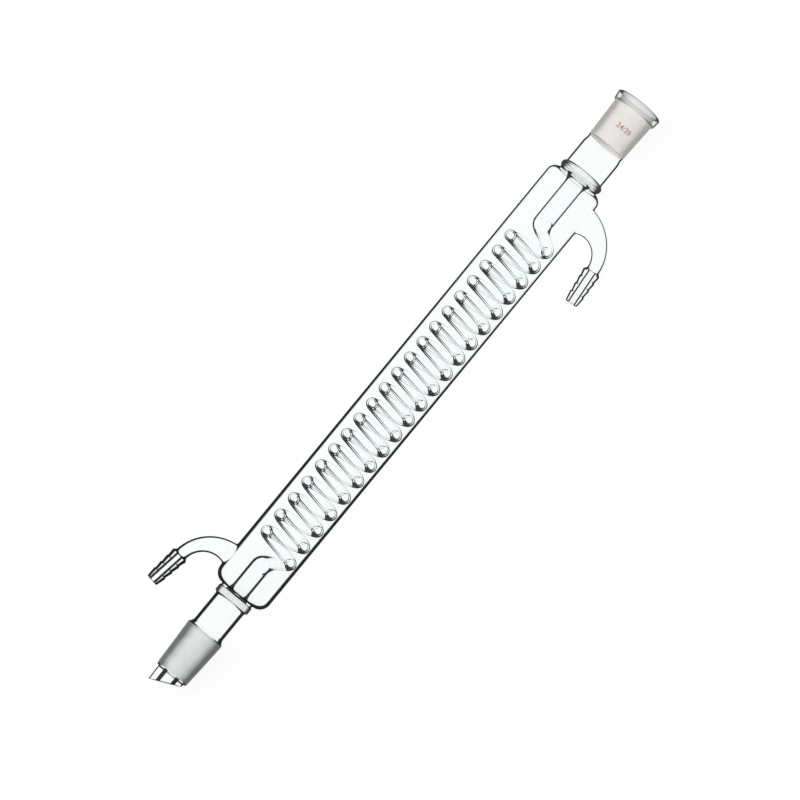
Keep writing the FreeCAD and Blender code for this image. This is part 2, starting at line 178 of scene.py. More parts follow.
@dataclass(frozen=True)
class ClearGlass:
    """Borosilicate tube, drawn and fire-polished: colourless, its walls dark where seen edge on.

    The wall_line attribute says where a wall's dark line begins. That line is painted shade, a dark
    tint where real glass would bend the dark room into view.

    Attributes:
        name: the material's name.
        clear: colour that one surface lets through face on.
        edge: colour that it lets through where the wall turns away, painted shade.
        softness: how gradually one passes into the other, as a share of the facing value.
        shine: share of light that the surface mirrors.
        roughness: blur of those reflections.
    """

    name: str
    clear: str = "#feffff"
    edge: str = "#12171c"
    softness: float = 0.05
    shine: float = 0.02
    roughness: float = 0.04

    def build(self) -> bpy.types.Material:
        """Makes the material.

        Returns:
            The material, clear face on and dark where a wall turns away.
        """
        material, tree, output = new_material(self.name)
        facing = add(tree, "ShaderNodeLayerWeight", {"Blend": NEUTRAL_BLEND}).outputs["Facing"]
        line = add(tree, "ShaderNodeAttribute", attribute_name="wall_line").outputs["Fac"]
        pair = {0: line, 1: self.softness}
        start = add(tree, "ShaderNodeMath", pair, operation="SUBTRACT").outputs[0]
        stop = add(tree, "ShaderNodeMath", pair, operation="ADD").outputs[0]
        span = dict(zip(MAP_RANGE, (facing, start, stop)))
        band = add(
            tree, "ShaderNodeMapRange", span, interpolation_type="SMOOTHSTEP"
        ).outputs["Result"]
        # Painted shade: the passed colour darkens where the wall turns away from the eye.
        colours = {"Factor": band, "A": linear(self.clear), "B": linear(self.edge)}
        passed = add(tree, "ShaderNodeMix", colours, data_type="RGBA").outputs[2]
        window = add(tree, "ShaderNodeBsdfTransparent", {"Color": passed}).outputs[0]
        gloss = {"Color": linear("#ffffff"), "Roughness": self.roughness}
        mirror = add(tree, "ShaderNodeBsdfGlossy", gloss).outputs[0]
        both = add(tree, "ShaderNodeMixShader", {0: self.shine, 1: window, 2: mirror}).outputs[0]
        tree.links.new(both, output.inputs["Surface"])
        return material


@dataclass(frozen=True)
class GroundGlass:
    """Borosilicate ground with fine grit: a grey-white matt that lets light through but no image.

    Attributes:
        name: the material's name.
        pale: colour face on.
        painted_shade: colour where the taper turns away, painted shade at its sides.
        alpha: how much of what is behind it the matt hides.
        turn: facing values between which the pale colour passes into the shaded one.
        grain_mm: size of the pits, drawn about ten times coarser than real grit so that it shows.
        grain_layers: how many finer layers the pits have, and how strong each is.
        cloud_mm: size of the patches that the grinding left a little more or less matt.
        cloud_layers: the same for the patches.
        cloud_span: noise values between which a patch passes from one extreme to the other.
        cloud: how much those patches differ, as a share between the pale and the deep colour.
        pit_mm: depth of the pits.
        pit_share: how strongly the pits tilt the surface.
        roughness: blur of the surface's reflections.
        ior: refractive index of borosilicate glass.
    """

    name: str
    pale: str
    painted_shade: str
    alpha: float
    turn: tuple[float, float] = (0.12, 0.62)
    grain_mm: float = 0.35
    grain_layers: Point = (3.0, 0.6)
    cloud_mm: float = 6.0
    cloud_layers: Point = (2.0, 0.5)
    cloud_span: Point = (0.3, 0.7)
    cloud: float = 0.08
    pit_mm: float = 0.05
    pit_share: float = 0.25
    roughness: float = 0.55
    ior: float = 1.47

    def build(self) -> bpy.types.Material:
        """Makes the material.

        Returns:
            The material, grained all over and painted darker, as shade, where it turns away.
        """
        material, tree, output = new_material(self.name)
        facing = add(tree, "ShaderNodeLayerWeight", {"Blend": NEUTRAL_BLEND}).outputs["Facing"]
        place = add(tree, "ShaderNodeTexCoord").outputs["Object"]
        noises = []
        for size, (detail, rough) in (
            (self.grain_mm, self.grain_layers),
            (self.cloud_mm, self.cloud_layers),
        ):
            sockets = {"Vector": place, "Scale": 1 / (size * MM)}
            sockets |= {"Detail": detail, "Roughness": rough}
            noises.append(add(tree, "ShaderNodeTexNoise", sockets).outputs["Fac"])
        grain, cloud = noises
        # Painted shade: the colour darkens where the surface turns away from the eye.
        span = dict(zip(MAP_RANGE, (facing, *self.turn)))
        depth = add(
            tree, "ShaderNodeMapRange", span, interpolation_type="SMOOTHSTEP"
        ).outputs["Result"]
        span = dict(zip(MAP_RANGE, (cloud, *self.cloud_span, -self.cloud, self.cloud)))
        uneven = add(tree, "ShaderNodeMapRange", span).outputs["Result"]
        share = add(
            tree, "ShaderNodeMath", {0: depth, 1: uneven}, operation="ADD", use_clamp=True
        ).outputs[0]
        colours = {"Factor": share, "A": linear(self.pale), "B": linear(self.painted_shade)}
        colour = add(tree, "ShaderNodeMix", colours, data_type="RGBA").outputs[2]
        pits = {"Strength": self.pit_share, "Distance": self.pit_mm * MM, "Height": grain}
        bump = add(tree, "ShaderNodeBump", pits).outputs[0]
        sockets = {"Base Color": colour, "Alpha": self.alpha, "Normal": bump}
        sockets |= {"Roughness": self.roughness, "IOR": self.ior}
        surface = add(tree, "ShaderNodeBsdfPrincipled", sockets)
        tree.links.new(surface.outputs[0], output.inputs["Surface"])
        return material


@dataclass(frozen=True)
class FiredPrint:
    """Ceramic ink fired on glass: red-brown, matt, and worn thin in places.

    Attributes:
        name: the material's name.
        colour: colour of the ink.
        thin: share of the ink left where it is most worn.
        full: share where it is whole.
        wear_mm: size of the worn patches.
        wear_layers: how many finer layers they have.
        wear_span: noise values between which the ink passes from worn to whole.
        roughness: blur of the ink's reflections.
    """

    name: str
    colour: str
    thin: float = 0.35
    full: float = 0.85
    wear_mm: float = 1.6
    wear_layers: float = 3.0
    wear_span: Point = (0.35, 0.6)
    roughness: float = 0.6

    def build(self) -> bpy.types.Material:
        """Makes the material.

        Returns:
            The material, its wear in Object coordinates.
        """
        material, tree, output = new_material(self.name)
        place = add(tree, "ShaderNodeTexCoord").outputs["Object"]
        patches = {"Vector": place, "Scale": 1 / (self.wear_mm * MM), "Detail": self.wear_layers}
        wear = add(tree, "ShaderNodeTexNoise", patches).outputs["Fac"]
        span = dict(zip(MAP_RANGE, (wear, *self.wear_span, self.thin, self.full)))
        left = add(tree, "ShaderNodeMapRange", span).outputs["Result"]
        ink = {"Base Color": linear(self.colour), "Roughness": self.roughness, "Alpha": left}
        surface = add(tree, "ShaderNodeBsdfPrincipled", ink)
        tree.links.new(surface.outputs[0], output.inputs["Surface"])
        return material


# Drawn tube, fire-polished in the lathe: smooth and colourless, so the eye has only its dark
# outlines, which are painted shade.
DRAWN_TUBE = ClearGlass("drawn_borosilicate_tube")

# The same tube seen from within: its edge is hidden behind the outer line, so its painted shade is
# faint.
DRAWN_BORE = ClearGlass("drawn_borosilicate_bore", edge="#c8d0d6", shine=0.01)

# Glass worked thick in the flame: painted greyer, with soft and broad painted shade lines where
# real thick glass bends the light.
FLAME_WORKED_SEAL = ClearGlass(
    "flame_worked_borosilicate_seal", clear="#f2f5f4", edge="#20262a", softness=0.14, shine=0.05
)

# Thin drawn tube bent hot into the coil: crisp painted shade lines that come and go as the strand
# turns.
BENT_TUBE = ClearGlass("bent_borosilicate_coil_tube", edge="#0a0e12", softness=0.04, shine=0.015)

# The coil's bore: a second fine painted shade line beside the outer one, with no reflection of its
# own.
BENT_BORE = ClearGlass("bent_borosilicate_coil_bore", clear="#ffffff", edge="#1c242a", shine=0.0)

# Cone ground on the outside: the matt surface is the nearest one, so it is grey, and painted shade
# makes it dark at the sides.
GROUND_CONE = GroundGlass("ground_borosilicate_cone", "#d2d6d6", "#5b605e", 0.9, turn=(0.02, 0.44))

# Socket ground on the inside: seen through clear glass, so it is paler, warmer and lets more
# through; its sides are greyed by painted shade.
GROUND_SOCKET = GroundGlass("ground_borosilicate_socket", "#ece8e5", "#a3a19e", 0.7)

# Size figures screen-printed in ceramic ink and fired on: matt, red-brown, rubbed thin by handling.
FIRED_INK = FiredPrint("fired_ceramic_ink", "#b3574a")


# Sizes


@dataclass(frozen=True)
class Sizes:
    """Sizes of the condenser in millimetres, heights counted from the drip tip."""

    cone_foot: float = 10.7
    cone_top: float = 39.7
    cone_small: float = 10.55
    cone_large: float = 12.0
    jacket_foot: float = 66.9
    jacket_top: float = 374.5
    jacket_radius: float = 18.0
    jacket_wall: float = 1.5
    socket_foot: float = 400.7
    top: float = 429.7
    slant_rise: float = 8.0
    slant_width: float = 17.4
    axis_y: float = -0.3488

    @property
    def cavity_radius(self) -> float:
        """Radius of the jacket's inner wall."""
        return self.jacket_radius - self.jacket_wall


@dataclass(frozen=True)
class WallLines:
    """Facing values at which a wall's dark line begins: the lower the value, the broader the line.

    The lines are painted shade, broader at the cone's end, which lies nearer to the dark side of
    the room, than at the socket's.

    Attributes:
        drip_tip: the tip's outside.
        tip_bore: the tip's bore, thick enough to show a bar at each side.
        seam: the ring where tip and cone meet, dark all round.
        lip: the cone's rounded foot.
        ground: the cone's ground zone.
        cone_top: the clear shoulder above it.
        neck: the clear neck above the cone, as dark as its wall is thick.
        collar: the collar below the jacket.
        ring: the thick ring above the jacket.
        ring_seam: the line round that ring where jacket and neck were sealed.
        upper_neck: the clear neck below the socket.
        socket: the socket and its rim.
        rim_top: the rim's rounded edge.
        bore: any bore, which shows next to no line.
        tube_low: the drawn tube at the cone's end.
        tube_high: the drawn tube at the socket's end.
        low_height: height at which the lines begin to grow finer.
        high_height: height at which they are finest.
        arm: how much broader than the jacket's an arm's line is at its root.
        arm_end: how much broader it grows up to the nipple.
        nipple_bore: how much broader the line of the nipple's bore is.
    """

    drip_tip: float = 0.62
    tip_bore: float = 0.17
    seam: float = 0.0
    lip: float = 0.6
    ground: float = 0.3
    cone_top: float = 0.4
    neck: float = 1 - math.sqrt(1 - (NECK_BORE / NECK_RADIUS) ** 2)
    collar: float = 0.45
    ring: float = 0.4
    ring_seam: float = 0.1
    upper_neck: float = 0.62
    socket: float = 0.7
    rim_top: float = 0.3
    bore: float = 0.9
    tube_low: float = 0.53
    tube_high: float = 0.71
    low_height: float = 40.0
    high_height: float = 380.0
    arm: float = 0.02
    arm_end: float = 0.28
    nipple_bore: float = 0.15

    def at(self, height: float) -> float:
        """Line of the drawn tube at a height, broad at the drip tip and fine at the socket."""
        # Painted shade: the line is broader towards the drip tip.
        share = within((height - self.low_height) / (self.high_height - self.low_height))
        return self.tube_low + (self.tube_high - self.tube_low) * share

    def on_arm(self, height: float, share: float) -> float:
        """Line of a side arm at a share of its bend, broader towards the narrow end."""
        return self.at(height) - self.arm - self.arm_end * share


@dataclass(frozen=True)
class Arm:
    """One hose connector: its root on the jacket, its bend and its end, in millimetres.

    Attributes:
        facing: direction of the arm about the axis, in degrees.
        height: height of its root above the drip tip.
        root_radius: radius of the tube where it leaves the boss.
        turn: angle of the bend in degrees.
        half_width: half the boss's patch on the jacket, in columns of the skin.
        half_height: half the patch's height.
        end_radius: radius of the tube at the nipple.
        wall: thickness of the tube's wall.
        bend_radius: radius of the bend's centre line.
        seal_radius: distance from the axis at which the bend begins.
        tail: straight length after the bend.
        flare: width of the fillet between the boss and the jacket.
    """

    facing: float
    height: float
    root_radius: float
    turn: float
    half_width: int
    half_height: float
    end_radius: float = 3.8
    wall: float = 1.3
    bend_radius: float = 20.3
    seal_radius: float = 19.0
    tail: float = 1.0
    flare: float = 1.5

    @property
    def turning(self) -> Matrix:
        """Turn from the arm's own frame to the upright one."""
        return Matrix.Rotation(math.radians(self.facing), 3, "Z")

    @property
    def window(self) -> Point:
        """Heights between which the jacket's wall is open for the arm."""
        return self.height - self.half_height, self.height + self.half_height

    def place(self, local: Vector) -> Vector:
        """A point of the arm's own frame in the upright one."""
        return self.turning @ local + Vector((0, 0, self.height))

    def radius_at(self, share: float) -> float:
        """Radius of the tube's outside at a share of its bend."""
        return self.end_radius + (1 - share) ** 2 * (self.root_radius - self.end_radius)

    def station(self, share: float, tail: float = 0.0) -> Station:
        """Finds a station of the centre line in the arm's own frame.

        Args:
            share: share of the bend, from 0 at the boss to 1.
            tail: distance further on, straight ahead.

        Returns:
            Its place, its heading and the direction to the outer side of the bend.
        """
        angle = math.radians(self.turn * share)
        heading = Vector((math.cos(angle), 0, -math.sin(angle)))
        across = Vector((math.sin(angle), 0, math.cos(angle)))
        reach = self.seal_radius + self.bend_radius * math.sin(angle)
        drop = self.bend_radius * (math.cos(angle) - 1)
        return Vector((reach, 0, drop)) + heading * tail, heading, across

    @staticmethod
    def around(station: Station, radius: float, angle: float, along: float = 0.0) -> Vector:
        """Finds a point round a station.

        Args:
            station: place, heading and outer side.
            radius: distance from the centre line.
            angle: angle from the outer side, in radians.
            along: distance ahead of the station.

        Returns:
            The point in the arm's own frame.
        """
        centre, heading, across = station
        side = across * math.cos(angle) + Vector((0, math.sin(angle), 0))
        return centre + heading * along + side * radius


@dataclass(frozen=True)
class Nipple:
    """Barbed hose nipple, four rings that narrow towards the open end, in millimetres.

    Attributes:
        rings: number of barbs.
        pitch: distance from barb to barb.
        rise: height of the first barb's crest above the foot.
        fall: how much the tube narrows behind a crest.
        first_radius: crest of the first barb.
        last_radius: crest of the last barb.
        tip_length: length beyond the last barb.
        tip_radius: radius of the plain tube.
        bore: radius of the bore.
        mouth: how much the fire-polished mouth widens.
        crest_round: rounding of a crest.
        valley_round: rounding behind it.
        end_round: rounding of the open end.
    """

    rings: int = 4
    pitch: float = 5.0
    rise: float = 0.7
    fall: float = 0.75
    first_radius: float = 5.4
    last_radius: float = 4.6
    tip_length: float = 6.0
    tip_radius: float = 3.8
    bore: float = 2.4
    mouth: float = 0.3
    crest_round: float = 0.35
    valley_round: float = 0.4
    end_round: float = 0.6

    @property
    def length(self) -> float:
        """Length of the nipple."""
        return self.rise + self.pitch * (self.rings - 1) + self.tip_length

    def outside(self) -> list[Point]:
        """Draws the outside.

        Returns:
            Radius and height from the bent tube to the open end.
        """
        corners: list[Corner] = [(self.tip_radius, 0.0, 0.0)]
        for index in range(self.rings):
            share = index / (self.rings - 1)
            radius = self.first_radius + (self.last_radius - self.first_radius) * share
            height = self.rise + self.pitch * index
            corners.append((radius, height, self.crest_round))
            if index < self.rings - 1:
                foot = height + self.pitch - self.rise
                corners.append((radius - self.fall, foot, self.valley_round))
        corners.append((self.tip_radius, self.length, self.end_round))
        corners.append((self.bore + self.mouth, self.length, 0.0))
        return rounded(corners)

    def inside(self) -> list[Point]:
        """Draws the bore.

        Returns:
            Radius and height from the open end to the bent tube.
        """
        mouth = (self.bore + self.mouth, self.length, 0.0)
        throat = (self.bore, self.length - 2 * self.mouth, self.mouth)
        return rounded([mouth, throat, (self.bore, 0.0, 0.0)], 3)


@dataclass(frozen=True)
class Rest:
    """The way the condenser lies: on its jacket and on the upper nipple's first ring.

    Attributes:
        sizes: the condenser's sizes.
        arm: the upper hose connector.
        nipple: its nipple.
    """

    sizes: Sizes
    arm: Arm
    nipple: Nipple

    @property
    def sine(self) -> float:
        """Works out the roll about the axis from the sizes.

        Returns:
            Its sine, zero with the arms' plane level.
        """
        turn = math.radians(self.arm.turn)
        straight = self.arm.tail + self.nipple.rise
        bend = self.arm.bend_radius * math.sin(turn)
        reach = self.arm.seal_radius + bend + straight * math.cos(turn)
        return (self.sizes.jacket_radius - self.nipple.first_radius) / reach

    @property
    def cosine(self) -> float:
        """Cosine of the roll."""
        return math.sqrt(1 - self.sine**2)

    @property
    def matrix(self) -> Matrix:
        """From the upright millimetre frame to the part's frame."""
        s, c = self.sine, self.cosine
        return Matrix(
            (
                (0, 0, MM, -self.sizes.top / 2 * MM),
                (-c * MM, s * MM, 0, self.sizes.axis_y * MM),
                (-s * MM, -c * MM, 0, self.sizes.jacket_radius * MM),
                (0, 0, 0, 1),
            )
        )

    @property
    def outward(self) -> Vector:
        """Direction from which the coil's near strands are seen, square to the axis."""
        return Vector((0, -self.sine, self.cosine))

    @property
    def arm_side(self) -> Vector:
        """Direction of the upper hose connector, square to the axis."""
        return Vector((0, -self.cosine, -self.sine))


# Shapes


def rounded(corners: Sequence[Corner], steps: int = 5) -> list[Point]:
    """Rounds the corners of a line.

    Args:
        corners: across, up and the corner's radius, zero for a sharp one. Both ends stay sharp.
        steps: points that a round corner becomes, less one.

    Returns:
        Points across and up, in order.
    """
    points: list[Point] = []
    for index, (across, up, radius) in enumerate(corners):
        here = Vector((across, up))
        if radius <= 0 or index in (0, len(corners) - 1):
            points.append((across, up))
            continue
        before = Vector(corners[index - 1][:2]) - here
        after = Vector(corners[index + 1][:2]) - here
        angle = before.angle(after)
        room = NEARLY_HALF * min(before.length, after.length)
        reach = min(radius / math.tan(angle / 2), room)
        first = here + before.normalized() * reach
        last = here + after.normalized() * reach
        for step in range(steps + 1):
            t = step / steps
            point = first * (1 - t) ** 2 + here * (2 * t * (1 - t)) + last * t**2
            points.append((point.x, point.y))
    return points


def arc(
    across: float, up: float, radius: float, first: float, last: float, steps: int = 10
) -> list[Corner]:
    """Draws an arc about a centre.

    Args:
        across: the centre's distance from the axis.
        up: its height.
        radius: radius of the arc.
        first: angle at its start, in degrees.
        last: angle at its end.
        steps: number of its points, less one.

    Returns:
        Its points as sharp corners.
    """
    points = []
    for step in range(steps + 1):
        angle = math.radians(first + (last - first) * step / steps)
        points.append((across + radius * math.cos(angle), up + radius * math.sin(angle), 0.0))
    return points


def finish_mesh(mesh: bpy.types.Mesh, crease: float = 50.0) -> None:
    """Turns the normals outward and shades the mesh smooth.

    Args:
        mesh: the mesh.
        crease: angle in degrees above which an edge stays sharp.
    """
    shape = bmesh.new()
    shape.from_mesh(mesh)
    bmesh.ops.recalc_face_normals(shape, faces=shape.faces)
    shape.to_mesh(mesh)
    shape.free()
    mesh.shade_smooth()
    mesh.set_sharp_from_angle(angle=math.radians(crease))
    mesh.update()


@dataclass
class SkinMesh:
    """A mesh that grows ring by ring, with a wall line on every vertex.

    Attributes:
        points: places of the vertices.
        lines: facing value at which the dark line begins, for each vertex.
        faces: vertices of each face.
        skins: material slot of each face.
    """

    points: list[Vector] = field(default_factory=list)
    lines: list[float] = field(default_factory=list)
    faces: list[tuple[int, ...]] = field(default_factory=list)
    skins: list[int] = field(default_factory=list)

    def point(self, place: Vector, line: float) -> int:
        """Adds one vertex.

        Args:
            place: where it is.
            line: where its wall's dark line begins.

        Returns:
            Its number.
        """
        self.points.append(place)
        self.lines.append(line)
        return len(self.points) - 1

    def face(self, corners: tuple[int, ...], skin: Skin) -> None:
        """Adds one face with its kind of surface."""
        self.faces.append(corners)
        self.skins.append(skin.value)

    def strip(
        self, lower: Sequence[int], upper: Sequence[int], skin: Skin, skipped: Sequence[int] = ()
    ) -> None:
        """Joins two closed rings of as many vertices with quads.

        Args:
            lower: the first ring.
            upper: the second ring.
            skin: the surface between them.
            skipped: columns that are left open.
        """
        for index in range(len(lower)):
            if index not in skipped:
                after = (index + 1) % len(lower)
                self.face((lower[index], lower[after], upper[after], upper[index]), skin)

    def to_object(
        self, name: str, matrix: Matrix, materials: Sequence[bpy.types.Material]
    ) -> bpy.types.Object:
        """Makes the object, its normals outward and its creases sharp.

        Args:
            name: the object's name.
            matrix: from the upright millimetre frame to the part's frame.
            materials: one for each kind of skin, in slot order.

        Returns:
            The new object, linked to the scene.
        """
        mesh = bpy.data.meshes.new(name)
        mesh.from_pydata([matrix @ p for p in self.points], [], self.faces)
        for material in materials:
            mesh.materials.append(material)
        mesh.polygons.foreach_set("material_index", self.skins)
        attribute = mesh.attributes.new("wall_line", "FLOAT", "POINT")
        attribute.data.foreach_set("value", self.lines)
        mesh.validate()
        finish_mesh(mesh)
        return link_object(name, mesh)


@dataclass(frozen=True)
class Row:
    """One ring of the turned body.

    Attributes:
        radius: distance from the axis.
        height: height above the drip tip.
        line: facing value at which the wall's dark line begins.
        slant: how far the ring follows the drip tip's slanted cut, from 0 to 1.
        skin: the surface between this ring and the next.
    """

    radius: float
    height: float
    line: float
    slant: float = 0.0
    skin: Skin = Skin.CLEAR


@dataclass(frozen=True)
class SizeMark:
    """The standard taper size, printed on the socket and fired on.

    Attributes:
        text: diameter and length of the ground zone.
        letter: height of the figures in millimetres.
        height: height of the print's middle above the drip tip.
        radius: distance of the print from the axis.
        aside: distance of its middle from the line nearest to the viewer above, along the surface.
        boldness: how much the ink spreads beyond the figures' outlines.
    """

    text: str = "24/29"
    letter: float = 4.4
    height: float = 411.4
    radius: float = 12.78
    aside: float = 1.6
    boldness: float = 0.03

    def add_to(self, skin: SkinMesh) -> None:
        """Adds the figures, bent round the socket.

        Args:
            skin: the body's skin, which gets the figures' faces.
        """
        curve = bpy.data.curves.new("size_mark", "FONT")
        curve.body = self.text
        curve.size = self.letter
        curve.align_x = "CENTER"
        curve.align_y = "CENTER"
        curve.offset = self.boldness
        holder = link_object("size_mark", curve)
        flat = bpy.data.meshes.new_from_object(holder)
        first = len(skin.points)
        for vertex in flat.vertices:
            angle = (vertex.co.x + self.aside) / self.radius
            across = (self.radius * math.sin(angle), -self.radius * math.cos(angle))
            skin.point(Vector((*across, self.height + vertex.co.y)), 1.0)
        for polygon in flat.polygons:
            skin.face(tuple(first + number for number in polygon.vertices), Skin.MARK)
        bpy.data.objects.remove(holder)


@dataclass
class Body:
    """The outer glass, one closed skin from the drip tip to the socket.

    A profile is a row of corners, each with its radius from the axis, its height and its rounding.

    Attributes:
        sizes: the condenser's sizes.
        lines: where each wall's dark line begins.
        arms: both hose connectors.
        nipple: the nipple that both end in.
        mark: the printed size.
        around: points round the axis.
        taper_steps: rings along a ground taper.
        wall_steps: rings along the jacket between the arms.
        boss_steps: rings across an arm's boss.
        bend_steps: rings along an arm's bend.
        drip_tip: radius, height and slant of the tip's outside.
        tip_seam: radius and height of the ring between tip and cone.
        cone_lip: profile of the cone's foot.
        lower_neck: profile of the clear neck above the cone.
        collar: profile of the collar below the jacket.
        lower_round: centre and radius of the jacket's lower end.
        foot_length: length of the jacket's plain foot below that rounding.
        upper_round: centre and radius of its upper end.
        ring_start: depth below the jacket's top at which the ring's glass begins.
        wall_margins: gaps between the straight wall's end rings and the roundings.
        upper_ring: profile of the thick ring above the jacket.
        ring_seam: heights between which that ring's seam lies.
        upper_neck: profile of the clear neck and the waist.
        socket: profile of the socket's outside.
        rim_foot: profile below the rim.
        rim: profile of the rim.
        rim_top: height above which the rim is rounded.
        mouth_depth: depth of the socket's mouth above its ground zone.
        socket_neck: profile of the bore below the socket's ground zone.
        upper_mouth: profile of the water space at the upper seal.
        lower_mouth: profile of the water space at the lower seal.
        lower_bore: profile of the bore from the lower seal to the drip tip.
        tip_bore: radius, height and slant of the tip's bore.
        mesh: the skin that grows.
    """

    sizes: Sizes
    lines: WallLines
    arms: tuple[Arm, ...]
    nipple: Nipple
    mark: SizeMark
    around: int = 96
    taper_steps: int = 6
    wall_steps: int = 24
    boss_steps: int = 12
    bend_steps: int = 26
    drip_tip: tuple[Corner, ...] = (
        (8.7, 0.0, 1.0),
        (8.8, 4.0, 0.55),
        (8.95, 8.2, 0.1),
        (9.0, 9.0, 0.0),
    )
    tip_seam: tuple[Point, ...] = ((9.0, 9.2), (9.05, 9.5))
    cone_lip: tuple[Corner, ...] = ((9.1, 9.7, 0.0), (10.0, 9.7, 0.15), (10.55, 10.7, 0.2))
    lower_neck: tuple[Corner, ...] = (
        (11.9, 39.9, 0.0),
        (11.2, 40.4, 0.4),
        (NECK_RADIUS, 42.6, 1.2),
        (NECK_RADIUS, 61.8, 0.8),
        (10.6, 62.4, 0.0),
    )
    collar: tuple[Corner, ...] = ((11.6, 63.0, 0.0), (11.6, 66.9, 1.1), (11.0, 67.2, 0.0))
    lower_round: Corner = (11.0, 75.3, 7.0)
    foot_length: float = 0.7
    upper_round: Corner = (13.0, 368.1, 5.0)
    ring_start: float = 0.5
    wall_margins: Point = (1.2, 1.1)
    upper_ring: tuple[Corner, ...] = (
        (13.2, 374.5, 0.0),
        (13.85, 375.5, 0.0),
        (14.1, 376.6, 0.0),
        (14.08, 376.85, 0.0),
        (14.04, 377.1, 0.0),
        (14.0, 377.35, 0.0),
        (13.85, 377.8, 0.0),
        (13.0, 378.7, 0.0),
    )
    ring_seam: Point = (377.0, 377.2)
    upper_neck: tuple[Corner, ...] = (
        (12.55, 379.0, 0.0),
        (12.5, 379.8, 0.0),
        (12.5, 394.2, 0.0),
        (11.9, 397.7, 2.0),
        (12.1, 399.4, 0.0),
    )
    socket: tuple[Corner, ...] = ((12.1, 399.4, 0.0), (12.25, 400.7, 0.0), (13.05, 423.1, 0.0))
    rim_foot: tuple[Corner, ...] = ((13.15, 423.4, 0.0), (14.1, 424.1, 0.0))
    rim: tuple[Corner, ...] = (
        (14.2, 424.5, 0.0),
        (14.8, 429.1, 0.7),
        (14.0, 429.7, 0.5),
        (12.3, 429.7, 0.0),
    )
    rim_top: float = 429.3
    mouth_depth: float = 0.3
    socket_neck: tuple[Corner, ...] = (
        (10.6, 399.5, 0.0),
        (10.8, 394.7, 1.0),
        (10.8, 382.9, 2.0),
        (7.0, 374.9, 0.5),
        (7.0, 374.5, 0.0),
    )
    upper_mouth: tuple[Corner, ...] = ((11.4, 374.4, 0.0), (11.5, 371.6, 0.0))
    lower_mouth: tuple[Corner, ...] = ((9.5, 69.8, 0.0), (9.5, 66.9, 0.0))
    lower_bore: tuple[Corner, ...] = (
        (6.5, 66.9, 0.0),
        (NECK_BORE, 63.2, 1.5),
        (NECK_BORE, 42.3, 2.0),
        (6.7, 37.1, 2.0),
        (5.6, 14.0, 0.0),
    )
    tip_bore: tuple[Corner, ...] = (
        (5.6, 14.0, 0.0),
        (5.3, 9.0, 0.1),
        (5.2, 4.0, 0.55),
        (5.1, 0.3, 1.0),
    )
    mesh: SkinMesh = field(default_factory=SkinMesh)

    @staticmethod
    def rows(corners: Sequence[Corner], line: float, skin: Skin = Skin.CLEAR) -> list[Row]:
        """Rings along a profile."""
        return [Row(radius, height, line, 0.0, skin) for radius, height in rounded(corners)]

    @staticmethod
    def slanted(corners: Sequence[Corner], line: float) -> list[Row]:
        """Rings of the drip tip, each with its share of the slanted cut."""
        return [Row(radius, height, line, slant) for radius, height, slant in corners]

    @staticmethod
    def lined(rows: list[Row], low: float, high: float, line: float) -> list[Row]:
        """The same rings, with another dark line between two heights."""
        return [replace(row, line=line) if low <= row.height <= high else row for row in rows]

    def taper(self, wide: float, narrow: float, first: float, last: float) -> list[Corner]:
        """Draws a standard taper.

        Args:
            wide: radius where it starts.
            narrow: radius where it ends.
            first: height where it starts.
            last: height where it ends.

        Returns:
            Its rings from start to end, as sharp corners.
        """
        shares = [step / self.taper_steps for step in range(self.taper_steps + 1)]
        return [(wide + (narrow - wide) * t, first + (last - first) * t, 0.0) for t in shares]

    def outside_rows(self) -> list[Row]:
        """Draws the outer surface.

        Returns:
            Its rings from the drip tip's edge to the rim of the socket.
        """
        s, lines = self.sizes, self.lines
        rows = self.slanted(self.drip_tip, lines.drip_tip)
        rows += [Row(radius, height, lines.seam) for radius, height in self.tip_seam]
        rows += self.rows(self.cone_lip, lines.lip)[:-1]
        ground = self.taper(s.cone_small, s.cone_large, s.cone_foot, s.cone_top)
        rows += self.rows(ground, lines.ground, Skin.GROUND_CONE)
        rows[-1] = Row(s.cone_large, s.cone_top, lines.cone_top)
        rows += self.rows(self.lower_neck, lines.neck)
        rows += self.rows(self.collar, lines.collar, Skin.SEAL)
        across, up, radius = self.lower_round
        foot = (across, up - radius - self.foot_length, 0.0)
        rows += self.rows([foot, *arc(across, up, radius, -90, 0)], lines.at(s.jacket_foot))
        rows += [Row(s.jacket_radius, height, lines.at(height)) for height in self.wall_heights()]
        across, up, radius = self.upper_round
        rows += self.rows(arc(across, up, radius, 0, 90), lines.at(s.jacket_top))
        brow = (across, s.jacket_top - self.ring_start, 0.0)
        rows += self.rows([brow], lines.at(s.jacket_top), Skin.SEAL)
        ring = self.rows(self.upper_ring, lines.ring, Skin.SEAL)
        rows += self.lined(ring, *self.ring_seam, lines.ring_seam)
        rows += self.rows(self.upper_neck, lines.upper_neck)[:-1]
        rows += self.rows(self.socket, lines.socket, Skin.GROUND_SOCKET)
        rows += self.rows(self.rim_foot, lines.socket, Skin.GROUND_CONE)
        rim = self.rows(self.rim, lines.socket, Skin.SEAL)
        return rows + self.lined(rim, self.rim_top, s.top, lines.rim_top)

    def inside_rows(self) -> list[Row]:
        """Draws the vapour's way through the socket.

        Returns:
            Its rings from the socket's mouth down to the upper seal.
        """
        s, line = self.sizes, self.lines.bore
        ground = self.taper(s.cone_large, s.cone_small, s.top - self.mouth_depth, s.socket_foot)
        rows = self.rows(ground, line, Skin.GROUND_SOCKET)
        rows[-1] = Row(s.cone_small, s.socket_foot, line, 0.0, Skin.BORE)
        return rows + self.rows(self.socket_neck, line, Skin.BORE)

